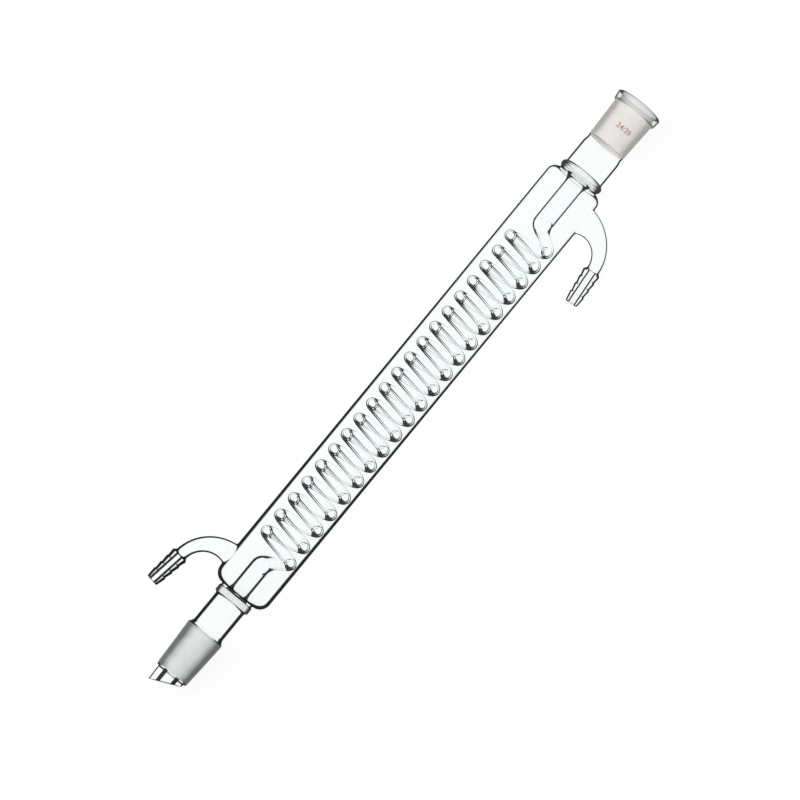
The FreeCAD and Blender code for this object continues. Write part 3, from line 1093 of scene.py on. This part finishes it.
    def water_rows(self) -> list[Row]:
        """Draws the water space.

        Returns:
            Its rings from the upper seal to the lower one.
        """
        s, line = self.sizes, self.lines.bore
        rows = self.rows(self.upper_mouth, line, Skin.BORE)
        across, up, radius = self.upper_round
        rows += self.rows(arc(across, up, radius - s.jacket_wall, 0, 90)[::-1], line, Skin.BORE)
        heights = self.wall_heights()[::-1]
        rows += [Row(s.cavity_radius, height, line, 0.0, Skin.BORE) for height in heights]
        across, up, radius = self.lower_round
        rows += self.rows(arc(across, up, radius - s.jacket_wall, -90, 0)[::-1], line, Skin.BORE)
        return rows + self.rows(self.lower_mouth, line, Skin.BORE)

    def lower_rows(self) -> list[Row]:
        """Draws the vapour's way through the cone.

        Returns:
            Its rings from the lower seal out through the drip tip.
        """
        rows = self.rows(self.lower_bore, self.lines.bore, Skin.BORE)[:-1]
        return rows + self.slanted(self.tip_bore, self.lines.tip_bore)

    def wall_heights(self) -> list[float]:
        """Spaces the rings of the jacket's straight wall.

        Returns:
            Their heights, close together at the arms.
        """
        below, above = self.wall_margins
        heights = {self.lower_round[1] + below, self.upper_round[1] - above}
        spans = sorted(arm.window for arm in self.arms)
        for low, high in spans:
            count = round(high - low)
            heights |= {low + (high - low) * k / count for k in range(count + 1)}
        low, high = spans[0][1], spans[1][0]
        heights |= {low + (high - low) * k / self.wall_steps for k in range(1, self.wall_steps)}
        return sorted(heights)

    def ring(self, row: Row) -> list[int]:
        """Adds the vertices of one ring.

        Args:
            row: the ring.

        Returns:
            The vertices' numbers, in order round the axis.
        """
        s = self.sizes
        numbers = []
        for index in range(self.around):
            angle = 2 * math.pi * index / self.around
            x, y = row.radius * math.cos(angle), row.radius * math.sin(angle)
            cut = s.slant_rise / 2 + x * s.slant_rise / s.slant_width
            numbers.append(self.mesh.point(Vector((x, y, row.height + cut * row.slant)), row.line))
        return numbers

    def columns(self, arm: Arm) -> list[int]:
        """Columns of the skin across an arm's window, from one side to the other."""
        centre = round(arm.facing / 360 * self.around)
        return [(centre + k) % self.around for k in range(-arm.half_width, arm.half_width + 1)]

    def open_columns(self, row: Row, following: Row) -> set[int]:
        """Finds where the jacket's wall stays open for the arms.

        Args:
            row: a ring.
            following: the next ring.

        Returns:
            The columns between both rings that get no face.
        """
        skipped: set[int] = set()
        walls = (self.sizes.jacket_radius, self.sizes.cavity_radius)
        if row.radius == following.radius and row.radius in walls:
            middle = (row.height + following.height) / 2
            for arm in self.arms:
                if abs(middle - arm.height) < arm.half_height:
                    skipped |= set(self.columns(arm)[:-1])
        return skipped

    def border(self, rows: list[Row], rings: list[list[int]], arm: Arm, radius: float) -> list[int]:
        """Finds the border of an arm's window on one of the jacket's walls.

        Args:
            rows: all rings of the skin.
            rings: their vertices.
            arm: the arm.
            radius: radius of the wall.

        Returns:
            Numbers of the vertices round the window, in order.
        """
        span = arm.half_height + SLACK
        picked = [
            (row.height, ring)
            for row, ring in zip(rows, rings)
            if row.radius == radius and abs(row.height - arm.height) < span
        ]
        window = [ring for _, ring in sorted(picked, key=lambda pair: pair[0])]
        columns = self.columns(arm)
        bottom = [window[0][c] for c in columns]
        right = [ring[columns[-1]] for ring in window[1:]]
        top = [window[-1][c] for c in columns[-2::-1]]
        left = [ring[columns[0]] for ring in window[-2:0:-1]]
        return bottom + right + top + left

    def build(self, matrix: Matrix, materials: Sequence[bpy.types.Material]) -> bpy.types.Object:
        """Makes the closed skin with both hose connectors.

        Args:
            matrix: from the upright millimetre frame to the part's frame.
            materials: one for each kind of skin.

        Returns:
            The body.
        """
        rows = self.outside_rows() + self.inside_rows() + self.water_rows() + self.lower_rows()
        rings = [self.ring(row) for row in rows]
        for index, row in enumerate(rows):
            following = (index + 1) % len(rows)
            skipped = self.open_columns(row, rows[following])
            self.mesh.strip(rings[index], rings[following], row.skin, sorted(skipped))
        for arm in self.arms:
            outer = self.border(rows, rings, arm, self.sizes.jacket_radius)
            inner = self.border(rows, rings, arm, self.sizes.cavity_radius)
            self.add_arm(arm, outer, inner)
        self.mark.add_to(self.mesh)
        return self.mesh.to_object("condenser_body_glass", matrix, materials)

    def flat(self, edge: Sequence[int], arm: Arm) -> list[Point]:
        """Up and across from an arm's axis, for each vertex of its window."""
        local = [arm.turning.transposed() @ self.mesh.points[number] for number in edge]
        return [(p.z - arm.height, p.y) for p in local]

    def add_arm(self, arm: Arm, outer: list[int], inner: list[int]) -> None:
        """Fills an arm's windows with its boss and draws the tube, the nipple and the bore.

        Args:
            arm: the arm.
            outer: border of its window on the outside.
            inner: border of its window on the inner wall.
        """
        angles = [math.atan2(across, up) for up, across in self.flat(outer, arm)]
        last = self.boss(arm, outer, angles)
        last = self.tube(last, angles, arm, 0.0)
        end = arm.station(1.0, arm.tail)
        line = self.lines.on_arm(arm.height, 1.0)
        stations = [(point, line) for point in self.nipple.outside()[1:]]
        stations += [(point, line - self.lines.nipple_bore) for point in self.nipple.inside()[1:]]
        for (radius, along), edge_line in stations:
            ring = [
                self.mesh.point(arm.place(arm.around(end, radius, angle, along)), edge_line)
                for angle in angles
            ]
            self.mesh.strip(last, ring, Skin.CLEAR)
            last = ring
        last = self.tube(last, angles, arm, arm.wall)
        self.boss_bore(arm, last, inner, angles)

    def boss(self, arm: Arm, edge: list[int], angles: Sequence[float]) -> list[int]:
        """Draws the jacket's skin from an arm's window up to the root of its tube.

        Args:
            arm: the arm.
            edge: border of its window on the outside.
            angles: angle of each border vertex about the arm's axis.

        Returns:
            The ring at the root.
        """
        last = edge
        outer = self.sizes.jacket_radius
        wall_line = self.lines.at(arm.height)
        root_line = self.lines.on_arm(arm.height, 0.0)
        flat = self.flat(edge, arm)
        for step in range(1, self.boss_steps + 1):
            share = 1 - (1 - step / self.boss_steps) ** 2
            ring = []
            for (up, across), angle in zip(flat, angles):
                high = up * (1 - share) + arm.root_radius * math.cos(angle) * share
                wide = across * (1 - share) + arm.root_radius * math.sin(angle) * share
                gap = within((math.hypot(high, wide) - arm.root_radius) / arm.flare)
                lift = 1 - math.sqrt(max(1 - (1 - gap) ** 2, 0.0))
                base = math.sqrt(outer**2 - wide**2)
                line = wall_line * (1 - lift) + root_line * lift
                place = arm.place(Vector((base + (arm.seal_radius - base) * lift, wide, high)))
                ring.append(self.mesh.point(place, line))
            self.mesh.strip(last, ring, Skin.CLEAR)
            last = ring
        return last

    def tube(self, last: list[int], angles: Sequence[float], arm: Arm, inset: float) -> list[int]:
        """Draws the bent tube's outside down to the nipple, or its bore back up to the jacket.

        Args:
            last: the ring that it starts from.
            angles: angle of each of its columns.
            arm: the arm.
            inset: zero for the outside, and the wall's thickness for the bore.

        Returns:
            Its last ring.
        """
        shares = [step / self.bend_steps for step in range(1, self.bend_steps + 1)]
        if inset:
            shares = [1.0, *shares[-2::-1], 0.0]
        for share in shares:
            radius = arm.radius_at(share) - inset
            station = arm.station(share)
            line = self.lines.bore if inset else self.lines.on_arm(arm.height, share)
            ring = [
                self.mesh.point(arm.place(arm.around(station, radius, angle)), line)
                for angle in angles
            ]
            self.mesh.strip(last, ring, Skin.BORE if inset else Skin.CLEAR)
            last = ring
        return last

    def boss_bore(
        self, arm: Arm, last: list[int], edge: list[int], angles: Sequence[float]
    ) -> None:
        """Draws the jacket's inner wall from the arm's bore out to its window.

        Args:
            arm: the arm.
            last: the bore's ring at the jacket.
            edge: border of the window on the inner wall.
            angles: angle of each column.
        """
        inner = self.sizes.cavity_radius
        bore = arm.root_radius - arm.wall
        flat = self.flat(edge, arm)
        for step in range(self.boss_steps):
            share = (step / self.boss_steps) ** 2
            ring = []
            for (up, across), angle in zip(flat, angles):
                high = up * share + bore * math.cos(angle) * (1 - share)
                wide = across * share + bore * math.sin(angle) * (1 - share)
                place = arm.place(Vector((math.sqrt(inner**2 - wide**2), wide, high)))
                ring.append(self.mesh.point(place, self.lines.bore))
            self.mesh.strip(last, ring, Skin.BORE)
            last = ring
        self.mesh.strip(last, edge, Skin.BORE)


@dataclass(frozen=True)
class CoilStation:
    """One station of the coil's centre line.

    Attributes:
        place: where it is, upright, above the jacket's foot.
        radius: radius of the tube's outside.
    """

    place: Vector
    radius: float


@dataclass(frozen=True)
class Coil:
    """The inner tube, from its flared end at one ring seal through twenty turns to the other.

    Attributes:
        sizes: the condenser's sizes.
        lines: where the drawn tube's dark line begins.
        tube_radius: radius of the coil's tube.
        tube_wall: its wall.
        straight_radius: radius of both straight tubes.
        straight_wall: their wall.
        mean_radius: radius of the coil's centre line.
        offset: how far the coil stands off the axis, towards the upper arm.
        start: height of the lowest turn above the jacket's foot.
        end: height of the last turn below the jacket's top.
        open_turns: lower turns, wider apart.
        open_pitch: their distance.
        close_turns: upper turns.
        lead_height: height over which a lead joins the straight tube.
        lead_run: how far a lead runs on in the coil's direction.
        lead_side: sideways pull of a lead where it enters the straight tube.
        lead_depth: the same across.
        lead_drop: the same along the axis.
        lead_share: share of a lead over which the tube narrows.
        lower_flare: radius of the lower mouth.
        upper_flare: radius of the upper mouth.
        flare_height: height of a flare.
        middle_share: place of a straight tube's middle station, as a share of its length.
        end_gaps: gaps between its last stations and its end.
        least_gap: least gap between those and the flare.
        steps_per_turn: stations in a turn.
        lead_steps: stations in a lead.
        flare_steps: stations in a flare.
        sides: points round the tube.
        far_line: dark line of the strands nearest to the bench, a hairline, as painted light from
            the bench.
        side_line: dark line where a turn passes the sides.
        near_line: dark line of the strands nearest to the viewer above, the broadest: painted
            shade.
        side_span: heights above the bench between which the far strand's line becomes the side's.
        near_span: heights between which that becomes the near strand's.
        straight_broader: how much broader the straight tubes' line is than the jacket's.
        weld_line: line of the lower weld, where coil and straight tube meet.
        weld_rise: height of the weld above the straight tube's end.
        weld_half: half the weld's height.
        bore_finer: how much finer the line of the coil's bore is.
        plain_bore: line of a straight tube's bore.
        lean: how much finer a strand's line is on its lit side, as painted light.
        bore_lean: the same for the bore, whose normals point the other way.
        lit_side: direction of the painted lit side in the part's frame.
    """

    sizes: Sizes
    lines: WallLines
    tube_radius: float = 3.3
    tube_wall: float = 1.05
    straight_radius: float = 5.8
    straight_wall: float = 1.2
    mean_radius: float = 11.3
    offset: float = 1.3
    start: float = 33.6
    end: float = 44.0
    open_turns: int = 5
    open_pitch: float = 12.1
    close_turns: int = 15
    lead_height: float = 11.5
    lead_run: float = 8.6
    lead_side: float = 3.0
    lead_depth: float = 4.5
    lead_drop: float = 6.5
    lead_share: float = 0.45
    lower_flare: float = 7.7
    upper_flare: float = 8.2
    flare_height: float = 6.5
    middle_share: float = 0.7
    end_gaps: Point = (2.0, 1.0)
    least_gap: float = 0.5
    steps_per_turn: int = 48
    lead_steps: int = 30
    flare_steps: int = 12
    sides: int = 32
    far_line: float = 0.81
    side_line: float = 0.75
    near_line: float = 0.47
    side_span: Point = (8.0, 12.0)
    near_span: Point = (25.0, 29.0)
    straight_broader: float = 0.2
    weld_line: float = 0.4
    weld_rise: float = 1.5
    weld_half: float = 0.9
    bore_finer: float = 0.04
    plain_bore: float = 0.93
    lean: float = 0.08
    bore_lean: float = -0.12
    lit_side: Corner = (0.8, 0.6, 0.0)

    @property
    def length(self) -> float:
        """Height from the lower seal to the upper one."""
        return self.sizes.jacket_top - self.sizes.jacket_foot

    @property
    def close_pitch(self) -> float:
        """Distance of the upper turns."""
        opened = self.open_turns * self.open_pitch
        return (self.length - self.start - self.end - opened) / self.close_turns

    @property
    def foot(self) -> Vector:
        """The jacket's foot, above which the centre line is drawn."""
        return Vector((0, 0, self.sizes.jacket_foot))

    def turn_point(self, turns: float) -> Vector:
        """Finds a point on the coil.

        Args:
            turns: number of turns from its lowest one.

        Returns:
            The point.
        """
        angle = 2 * math.pi * turns
        opened = min(turns, self.open_turns)
        height = self.start + opened * self.open_pitch + (turns - opened) * self.close_pitch
        across = self.offset + self.mean_radius * math.cos(angle)
        return Vector((across, -self.mean_radius * math.sin(angle), height))

    def lead(self, start: Vector, heading: Vector, end: Vector, entry: Vector) -> list[Vector]:
        """Draws the bend from a last turn to the end of a straight tube.

        Args:
            start: end of the coil.
            heading: direction in which the coil ends.
            end: end of the straight tube.
            entry: pull on the bend where it enters that tube.

        Returns:
            The bend's points after its start.
        """
        a, b, c, d = start, start + heading * self.lead_run, end + entry, end
        points = []
        for step in range(1, self.lead_steps + 1):
            t = step / self.lead_steps
            s = 1 - t
            points.append(a * s**3 + b * (3 * s * s * t) + c * (3 * s * t * t) + d * t**3)
        return points

    def straight(self, reach: float, flare: float) -> list[CoilStation]:
        """Draws a straight tube.

        Args:
            reach: its length.
            flare: radius of its mouth.

        Returns:
            Its stations from the flared mouth to the other end.
        """
        stations = []
        for step in range(self.flare_steps + 1):
            share = step / self.flare_steps
            radius = self.straight_radius + (flare - self.straight_radius) * (1 - share) ** 2
            stations.append(CoilStation(Vector((0, 0, self.flare_height * share)), radius))
        for height in (reach * self.middle_share, *(reach - gap for gap in self.end_gaps)):
            if height > self.flare_height + self.least_gap:
                stations.append(CoilStation(Vector((0, 0, height)), self.straight_radius))
        return stations

    def narrowing(self, points: list[Vector], grows: bool) -> list[CoilStation]:
        """Gives a lead its radius, from the coil's tube to the straight one.

        Args:
            points: the lead's points.
            grows: whether the tube grows wider along them.

        Returns:
            Its stations.
        """
        count = len(points)
        stations = []
        for index, point in enumerate(points):
            along = (index + 1) / count if grows else 1 - index / count
            share = within((along - (1 - self.lead_share)) / self.lead_share)
            eased = share * share * (3 - 2 * share)
            radius = self.tube_radius + (self.straight_radius - self.tube_radius) * eased
            stations.append(CoilStation(point, radius))
        return stations

    def path(self) -> list[CoilStation]:
        """Draws the centre line.

        Returns:
            Its stations from the lower seal to the upper one.
        """
        turns = self.open_turns + self.close_turns
        count = turns * self.steps_per_turn
        coil = [self.turn_point(turns * k / count) for k in range(count + 1)]
        low = Vector((0, 0, self.start - self.lead_height))
        high = Vector((0, 0, self.length - self.end + self.lead_height))
        entry = Vector((self.lead_side, self.lead_depth, self.lead_drop))
        lower = self.lead(coil[0], (coil[0] - coil[1]).normalized(), low, entry)
        entry = Vector((self.lead_side, -self.lead_depth, -self.lead_drop))
        upper = self.lead(coil[-1], (coil[-1] - coil[-2]).normalized(), high, entry)
        stations = self.straight(low.z, self.lower_flare)
        stations += self.narrowing(lower[::-1], grows=False)
        stations += [CoilStation(point, self.tube_radius) for point in coil]
        stations += self.narrowing(upper, grows=True)
        top = self.straight(self.length - high.z, self.upper_flare)
        mirrored = [CoilStation(Vector((0, 0, self.length - s.place.z)), s.radius) for s in top]
        return stations + mirrored[::-1]

    def slimness(self, radius: float) -> float:
        """How far the tube has narrowed, from 0 on a straight tube to 1 on the coil."""
        return (self.straight_radius - radius) / (self.straight_radius - self.tube_radius)

    def line_of(self, station: CoilStation, above: float) -> float:
        """Finds where the outside's dark line begins.

        Args:
            station: a station of the centre line.
            above: its height above the bench, in millimetres.

        Returns:
            The facing value, higher, so the line finer and paler, for the strands that lie near the
            white
            bench: painted light from the bench.
        """
        weld = self.start - self.lead_height + self.weld_rise
        if abs(station.place.z - weld) < self.weld_half:
            return self.weld_line
        # Painted light: lines grow broader and darker with the height above the bench.
        side = within((above - self.side_span[0]) / (self.side_span[1] - self.side_span[0]))
        near = within((above - self.near_span[0]) / (self.near_span[1] - self.near_span[0]))
        turn = self.far_line + (self.side_line - self.far_line) * side
        turn += (self.near_line - self.side_line) * near
        straight = self.lines.at(station.place.z + self.sizes.jacket_foot) - self.straight_broader
        slim = self.slimness(station.radius)
        return turn * slim + straight * (1 - slim)

    def values(self, station: CoilStation, above: float, wall: Wall) -> Corner:
        """Finds what the sweep needs at one station.

        Args:
            station: a station of the centre line.
            above: its height above the bench.
            wall: which surface of the wall is swept.

        Returns:
            The radius, the dark line's start and how much that differs from side to side.
        """
        slim = self.slimness(station.radius)
        line = self.line_of(station, above)
        if wall is Wall.OUTSIDE:
            return station.radius, line, self.lean * slim
        thickness = self.straight_wall + (self.tube_wall - self.straight_wall) * within(slim)
        line = (line + self.bore_finer) * slim + self.plain_bore * (1 - slim)
        return station.radius - thickness, line, self.bore_lean * slim

    def centre_line(self, wall: Wall, matrix: Matrix) -> bpy.types.Object:
        """Makes the chain of edges that one surface of the wall is swept along.

        Args:
            wall: the surface.
            matrix: from the upright millimetre frame to the part's frame.

        Returns:
            The chain, with a radius, a wall line and its lean on each of its points.
        """
        stations = self.path()
        points = [matrix @ (station.place + self.foot) for station in stations]
        values = [
            self.values(station, point.z / MM, wall) for station, point in zip(stations, points)
        ]
        mesh = bpy.data.meshes.new("coil_line")
        mesh.from_pydata(points, [(k, k + 1) for k in range(len(points) - 1)], [])
        units = {"tube_radius": MM, "wall_line": 1.0, "line_lean": 1.0}
        for column, (name, unit) in enumerate(units.items()):
            layer = mesh.attributes.new(name, "FLOAT", "POINT")
            layer.data.foreach_set("value", [row[column] * unit for row in values])
        return link_object("coil_line", mesh)

    def lean_lines(self, mesh: bpy.types.Mesh) -> None:
        """Makes each strand's line finer on its lit side and broader on the side towards the cone.

        Args:
            mesh: the coil, whose line_lean attribute is used up.
        """
        lines = mesh.attributes["wall_line"].data
        leans = mesh.attributes["line_lean"].data
        lit = Vector(self.lit_side)
        # Painted light and shade: lines finer where the normal turns to the lit side, broader away
        # from it.
        for vertex, line, lean in zip(mesh.vertices, lines, leans):
            line.value += lean.value * vertex.normal.dot(lit)
        mesh.attributes.remove(mesh.attributes["line_lean"])

    def build(self, matrix: Matrix, materials: dict[Wall, bpy.types.Material]) -> bpy.types.Object:
        """Sweeps the tube and its bore along the centre line and joins them at both mouths.

        Args:
            matrix: from the upright millimetre frame to the part's frame.
            materials: the outside's and the bore's.

        Returns:
            The coil.
        """
        tree = sweep_tree()
        skins = [
            sweep(self.centre_line(wall, matrix), tree, materials[wall], self.sides)
            for wall in Wall
        ]
        coil = join_skins("coil_glass", skins, self.sides)
        self.lean_lines(coil.data)
        return coil


def sweep_tree() -> bpy.types.NodeTree:
    """Builds the Geometry Nodes that sweep a round tube along a chain of edges.

    Returns:
        The tree, with inputs for the line, the points round the tube and its glass.
    """
    tree = bpy.data.node_groups.new("swept_glass_tube", "GeometryNodeTree")
    for name, kind in (("Line", "Geometry"), ("Sides", "Int"), ("Glass", "Material")):
        tree.interface.new_socket(name, in_out="INPUT", socket_type=f"NodeSocket{kind}")
    tree.interface.new_socket("Tube", in_out="OUTPUT", socket_type="NodeSocketGeometry")
    start = add(tree, "NodeGroupInput").outputs
    named = {"Name": "tube_radius"}
    radius = add(tree, "GeometryNodeInputNamedAttribute", named, data_type="FLOAT").outputs[0]
    curve = add(tree, "GeometryNodeMeshToCurve", {"Mesh": start["Line"]}).outputs["Curve"]
    # The ring has a radius of one, so the sweep's Scale is the tube's own radius.
    circle = {"Resolution": start["Sides"], "Radius": 1.0}
    ring = add(tree, "GeometryNodeCurvePrimitiveCircle", circle).outputs["Curve"]
    swept = {"Curve": curve, "Profile Curve": ring, "Scale": radius}
    tube = add(tree, "GeometryNodeCurveToMesh", swept).outputs["Mesh"]
    smooth = add(tree, "GeometryNodeSetShadeSmooth", {"Geometry": tube}).outputs[0]
    real = add(tree, "GeometryNodeRealizeInstances", {"Geometry": smooth}).outputs[0]
    dressed = {"Geometry": real, "Material": start["Glass"]}
    clad = add(tree, "GeometryNodeSetMaterial", dressed).outputs[0]
    add(tree, "NodeGroupOutput", {"Tube": clad})
    return tree


def sweep(
    line: bpy.types.Object, tree: bpy.types.NodeTree, glass: bpy.types.Material, sides: int
) -> bpy.types.Mesh:
    """Runs the sweep on a line and returns the tube as a plain mesh.

    Args:
        line: the chain of edges, which is removed afterwards.
        tree: the sweep.
        glass: material of the tube.
        sides: points round the tube.

    Returns:
        The tube.
    """
    modifier = line.modifiers.new("sweep", "NODES")
    modifier.node_group = tree
    sockets = {item.name: item.identifier for item in tree.interface.items_tree}
    modifier[sockets["Sides"]] = sides
    modifier[sockets["Glass"]] = glass
    line.update_tag()
    depsgraph = bpy.context.evaluated_depsgraph_get()
    mesh = bpy.data.meshes.new_from_object(line.evaluated_get(depsgraph), depsgraph=depsgraph)
    bpy.data.objects.remove(line)
    return mesh


def join_skins(name: str, skins: Sequence[bpy.types.Mesh], sides: int) -> bpy.types.Object:
    """Joins an outside and a bore, ring to ring at their open ends, into one closed wall.

    Args:
        name: the object's name.
        skins: the outside and the bore.
        sides: points round each of them.

    Returns:
        The closed tube.
    """
    shape = bmesh.new()
    for skin in skins:
        shape.from_mesh(skin)
    shape.faces.ensure_lookup_table()
    shape.verts.ensure_lookup_table()
    split = len(skins[0].polygons)
    for face in shape.faces:
        face.material_index = (Wall.OUTSIDE if face.index < split else Wall.BORE).value
    bore = len(skins[0].vertices)
    for first in (0, bore - sides):
        for index in range(sides):
            after = (index + 1) % sides
            ring = [first + index, first + after, bore + first + after, bore + first + index]
            shape.faces.new([shape.verts[number] for number in ring])
    joined = bpy.data.meshes.new(name)
    shape.to_mesh(joined)
    shape.free()
    for skin in skins:
        joined.materials.append(skin.materials[0])
    finish_mesh(joined)
    return link_object(name, joined)


# Bench, light and camera


@dataclass(frozen=True)
class SoftBox:
    """A soft rectangular lamp above the bench, aimed at the condenser.

    Attributes:
        name: the lamp's name.
        place: where it hangs, in metres.
        size: its width and height.
        power: its power in watts.
    """

    name: str
    place: Corner
    size: Point
    power: float

    def build(self) -> bpy.types.Object:
        """Makes the lamp.

        Returns:
            The lamp, left out of mirrored images so that no bright patch lies on the glass.
        """
        lamp = bpy.data.lights.new(self.name, "AREA")
        lamp.shape = "RECTANGLE"
        lamp.size, lamp.size_y = self.size
        lamp.energy = self.power
        holder = link_object(self.name, lamp)
        holder.location = self.place
        holder.rotation_euler = (-Vector(self.place)).to_track_quat("-Z", "Y").to_euler()
        holder.visible_glossy = False
        return holder


@dataclass(frozen=True)
class Bench:
    """White bench top and white surroundings, the light even and soft.

    Attributes:
        half_size: half the bench's width, in metres.
        drop: gap below the glass, so that no faces share a plane.
        white: colour of the bench top, a moulded laminate that reads as plain white.
        own_light: share of the bench's white that is seen whatever falls on it.
        room_light: strength of the even light from all round.
        lamps: the soft boxes.
    """

    half_size: float = 4.0
    drop: float = 0.0002
    white: str = "#f4f4f4"
    own_light: float = 0.9
    room_light: float = 0.45
    lamps: tuple[SoftBox, ...] = (
        SoftBox("soft_box_left", (-0.5, 0.9, 1.3), (0.9, 0.6), 9.0),
        SoftBox("soft_box_right", (0.6, -1.0, 1.2), (0.7, 0.5), 6.0),
        SoftBox("soft_box_top", (0.1, 0.0, 1.9), (1.4, 1.4), 14.0),
    )

    def build(self) -> None:
        """Makes the bench, the world and the lamps."""
        size = self.half_size
        mesh = bpy.data.meshes.new("bench")
        corners = [(-size, -size, 0), (size, -size, 0), (size, size, 0), (-size, size, 0)]
        mesh.from_pydata(corners, [], [tuple(range(len(corners)))])
        mesh.materials.append(self.laminate())
        bench = link_object("bench", mesh)
        bench.location.z = -self.drop
        self.build_world()
        for lamp in self.lamps:
            lamp.build()

    def laminate(self) -> bpy.types.Material:
        """Makes the bench top's material: matt white that keeps the object's shadow.

        Returns:
            The material.
        """
        material, tree, output = new_material("white_laminate_bench")
        seen = self.seen_directly(tree)
        pair = {0: seen, 1: self.own_light}
        share = add(tree, "ShaderNodeMath", pair, operation="MULTIPLY").outputs[0]
        matt = add(tree, "ShaderNodeBsdfDiffuse", {"Color": linear(self.white)}).outputs[0]
        white = {"Color": linear("#ffffff"), "Strength": 1.0}
        glow = add(tree, "ShaderNodeEmission", white).outputs[0]
        top = add(tree, "ShaderNodeMixShader", {0: share, 1: matt, 2: glow}).outputs[0]
        tree.links.new(top, output.inputs["Surface"])
        return material

    @staticmethod
    def seen_directly(tree: bpy.types.NodeTree) -> Any:
        """Tells what is seen, also mirrored or through glass, from what only lights the scene.

        Args:
            tree: the tree that gets the nodes.

        Returns:
            An output socket, one for what is seen and else zero.
        """
        path = add(tree, "ShaderNodeLightPath").outputs
        pair = {0: path["Is Camera Ray"], 1: path["Is Glossy Ray"]}
        glossy = add(tree, "ShaderNodeMath", pair, operation="MAXIMUM").outputs[0]
        pair = {0: glossy, 1: path["Is Transmission Ray"]}
        return add(tree, "ShaderNodeMath", pair, operation="MAXIMUM").outputs[0]

    def build_world(self) -> None:
        """Makes even grey-white light for the object, plain white where the camera looks."""
        world = bpy.data.worlds.new("white_room")
        bpy.context.scene.world = world
        world.use_nodes = True
        tree = world.node_tree
        tree.nodes.clear()
        span = {"Value": self.seen_directly(tree), "To Min": self.room_light, "To Max": 1.0}
        strength = add(tree, "ShaderNodeMapRange", span).outputs["Result"]
        glow = {"Color": linear("#ffffff"), "Strength": strength}
        light = add(tree, "ShaderNodeBackground", glow).outputs[0]
        tree.links.new(light, add(tree, "ShaderNodeOutputWorld").inputs["Surface"])


@dataclass(frozen=True)
class Viewpoint:
    """The photograph's camera, above the bench and nearer to the cone.

    Attributes:
        foot_mm: the camera's place along the axis, from the middle.
        height_mm: its distance from the axis.
        aim_mm: the point it looks at, along the axis from the middle.
        aside_mm: the same towards the picture's right.
        lean_deg: how far the axis leans from the picture's upright.
        pixels_per_mm: scale of the picture at the axis.
        sensor: width of the film in millimetres.
        pixels: width of the picture.
    """

    foot_mm: float = -133.0
    height_mm: float = 2277.0
    aim_mm: float = -3.6
    aside_mm: float = 1.5
    lean_deg: float = 39.46
    pixels_per_mm: float = 1.759
    sensor: float = 36.0
    pixels: int = 800

    def build(self, rest: Rest) -> bpy.types.Object:
        """Makes the camera.

        Args:
            rest: how the condenser lies.

        Returns:
            The camera, set as the scene's own.
        """
        axis = rest.matrix @ Vector((0, 0, rest.sizes.top / 2))
        lean = math.radians(self.lean_deg)
        along = Vector((1, 0, 0))
        eye = axis + along * self.foot_mm * MM + rest.outward * self.height_mm * MM
        right = along * math.sin(lean) + rest.arm_side * math.cos(lean)
        target = axis + along * self.aim_mm * MM + right * self.aside_mm * MM
        back = (eye - target).normalized()
        level = (along - back * along.dot(back)).normalized()
        side = level.cross(back)
        side = side if side.dot(rest.arm_side) > 0 else -side
        x = level * math.sin(lean) + side * math.cos(lean)
        lens = bpy.data.cameras.new("camera")
        lens.sensor_width = self.sensor
        lens.lens = self.pixels_per_mm * (eye - target).length / MM * self.sensor / self.pixels
        camera = link_object("camera", lens)
        turn = Matrix((x, back.cross(x), back)).transposed().to_4x4()
        camera.matrix_world = Matrix.Translation(eye) @ turn
        bpy.context.scene.camera = camera
        return camera


def main() -> None:
    """Builds the condenser, the bench and the camera."""
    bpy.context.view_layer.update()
    scene = bpy.context.scene
    scene.view_settings.view_transform = "Standard"
    scene.cycles.transparent_max_bounces = GLASS_LAYERS
    sizes, lines, nipple = Sizes(), WallLines(), Nipple()
    upper = Arm(
        facing=0.0, height=357.8, root_radius=8.2, turn=84.4, half_width=10, half_height=10.0
    )
    lower = Arm(
        facing=180.0, height=83.6, root_radius=6.5, turn=81.5, half_width=8, half_height=8.0
    )
    rest = Rest(sizes, upper, nipple)
    finishes = (DRAWN_TUBE, DRAWN_BORE, GROUND_CONE, GROUND_SOCKET, FLAME_WORKED_SEAL, FIRED_INK)
    body = Body(sizes, lines, (upper, lower), nipple, SizeMark())
    coil = Coil(sizes, lines)
    body_glass = body.build(rest.matrix, [finish.build() for finish in finishes])
    walls = {Wall.OUTSIDE: BENT_TUBE.build(), Wall.BORE: BENT_BORE.build()}
    coil_glass = coil.build(rest.matrix, walls)
    pieces = (
        (body_glass, "condenser_body", "body_glass"),
        (coil_glass, "coil", "coil_glass"),
    )
    for piece, node, slot in pieces:
        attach(piece, "root")
        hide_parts(node)
        log.info("%s: %d faces", piece.name, len(piece.data.polygons))
    Bench().build()
    Viewpoint().build(rest)


if __name__ == "__main__":
    main()
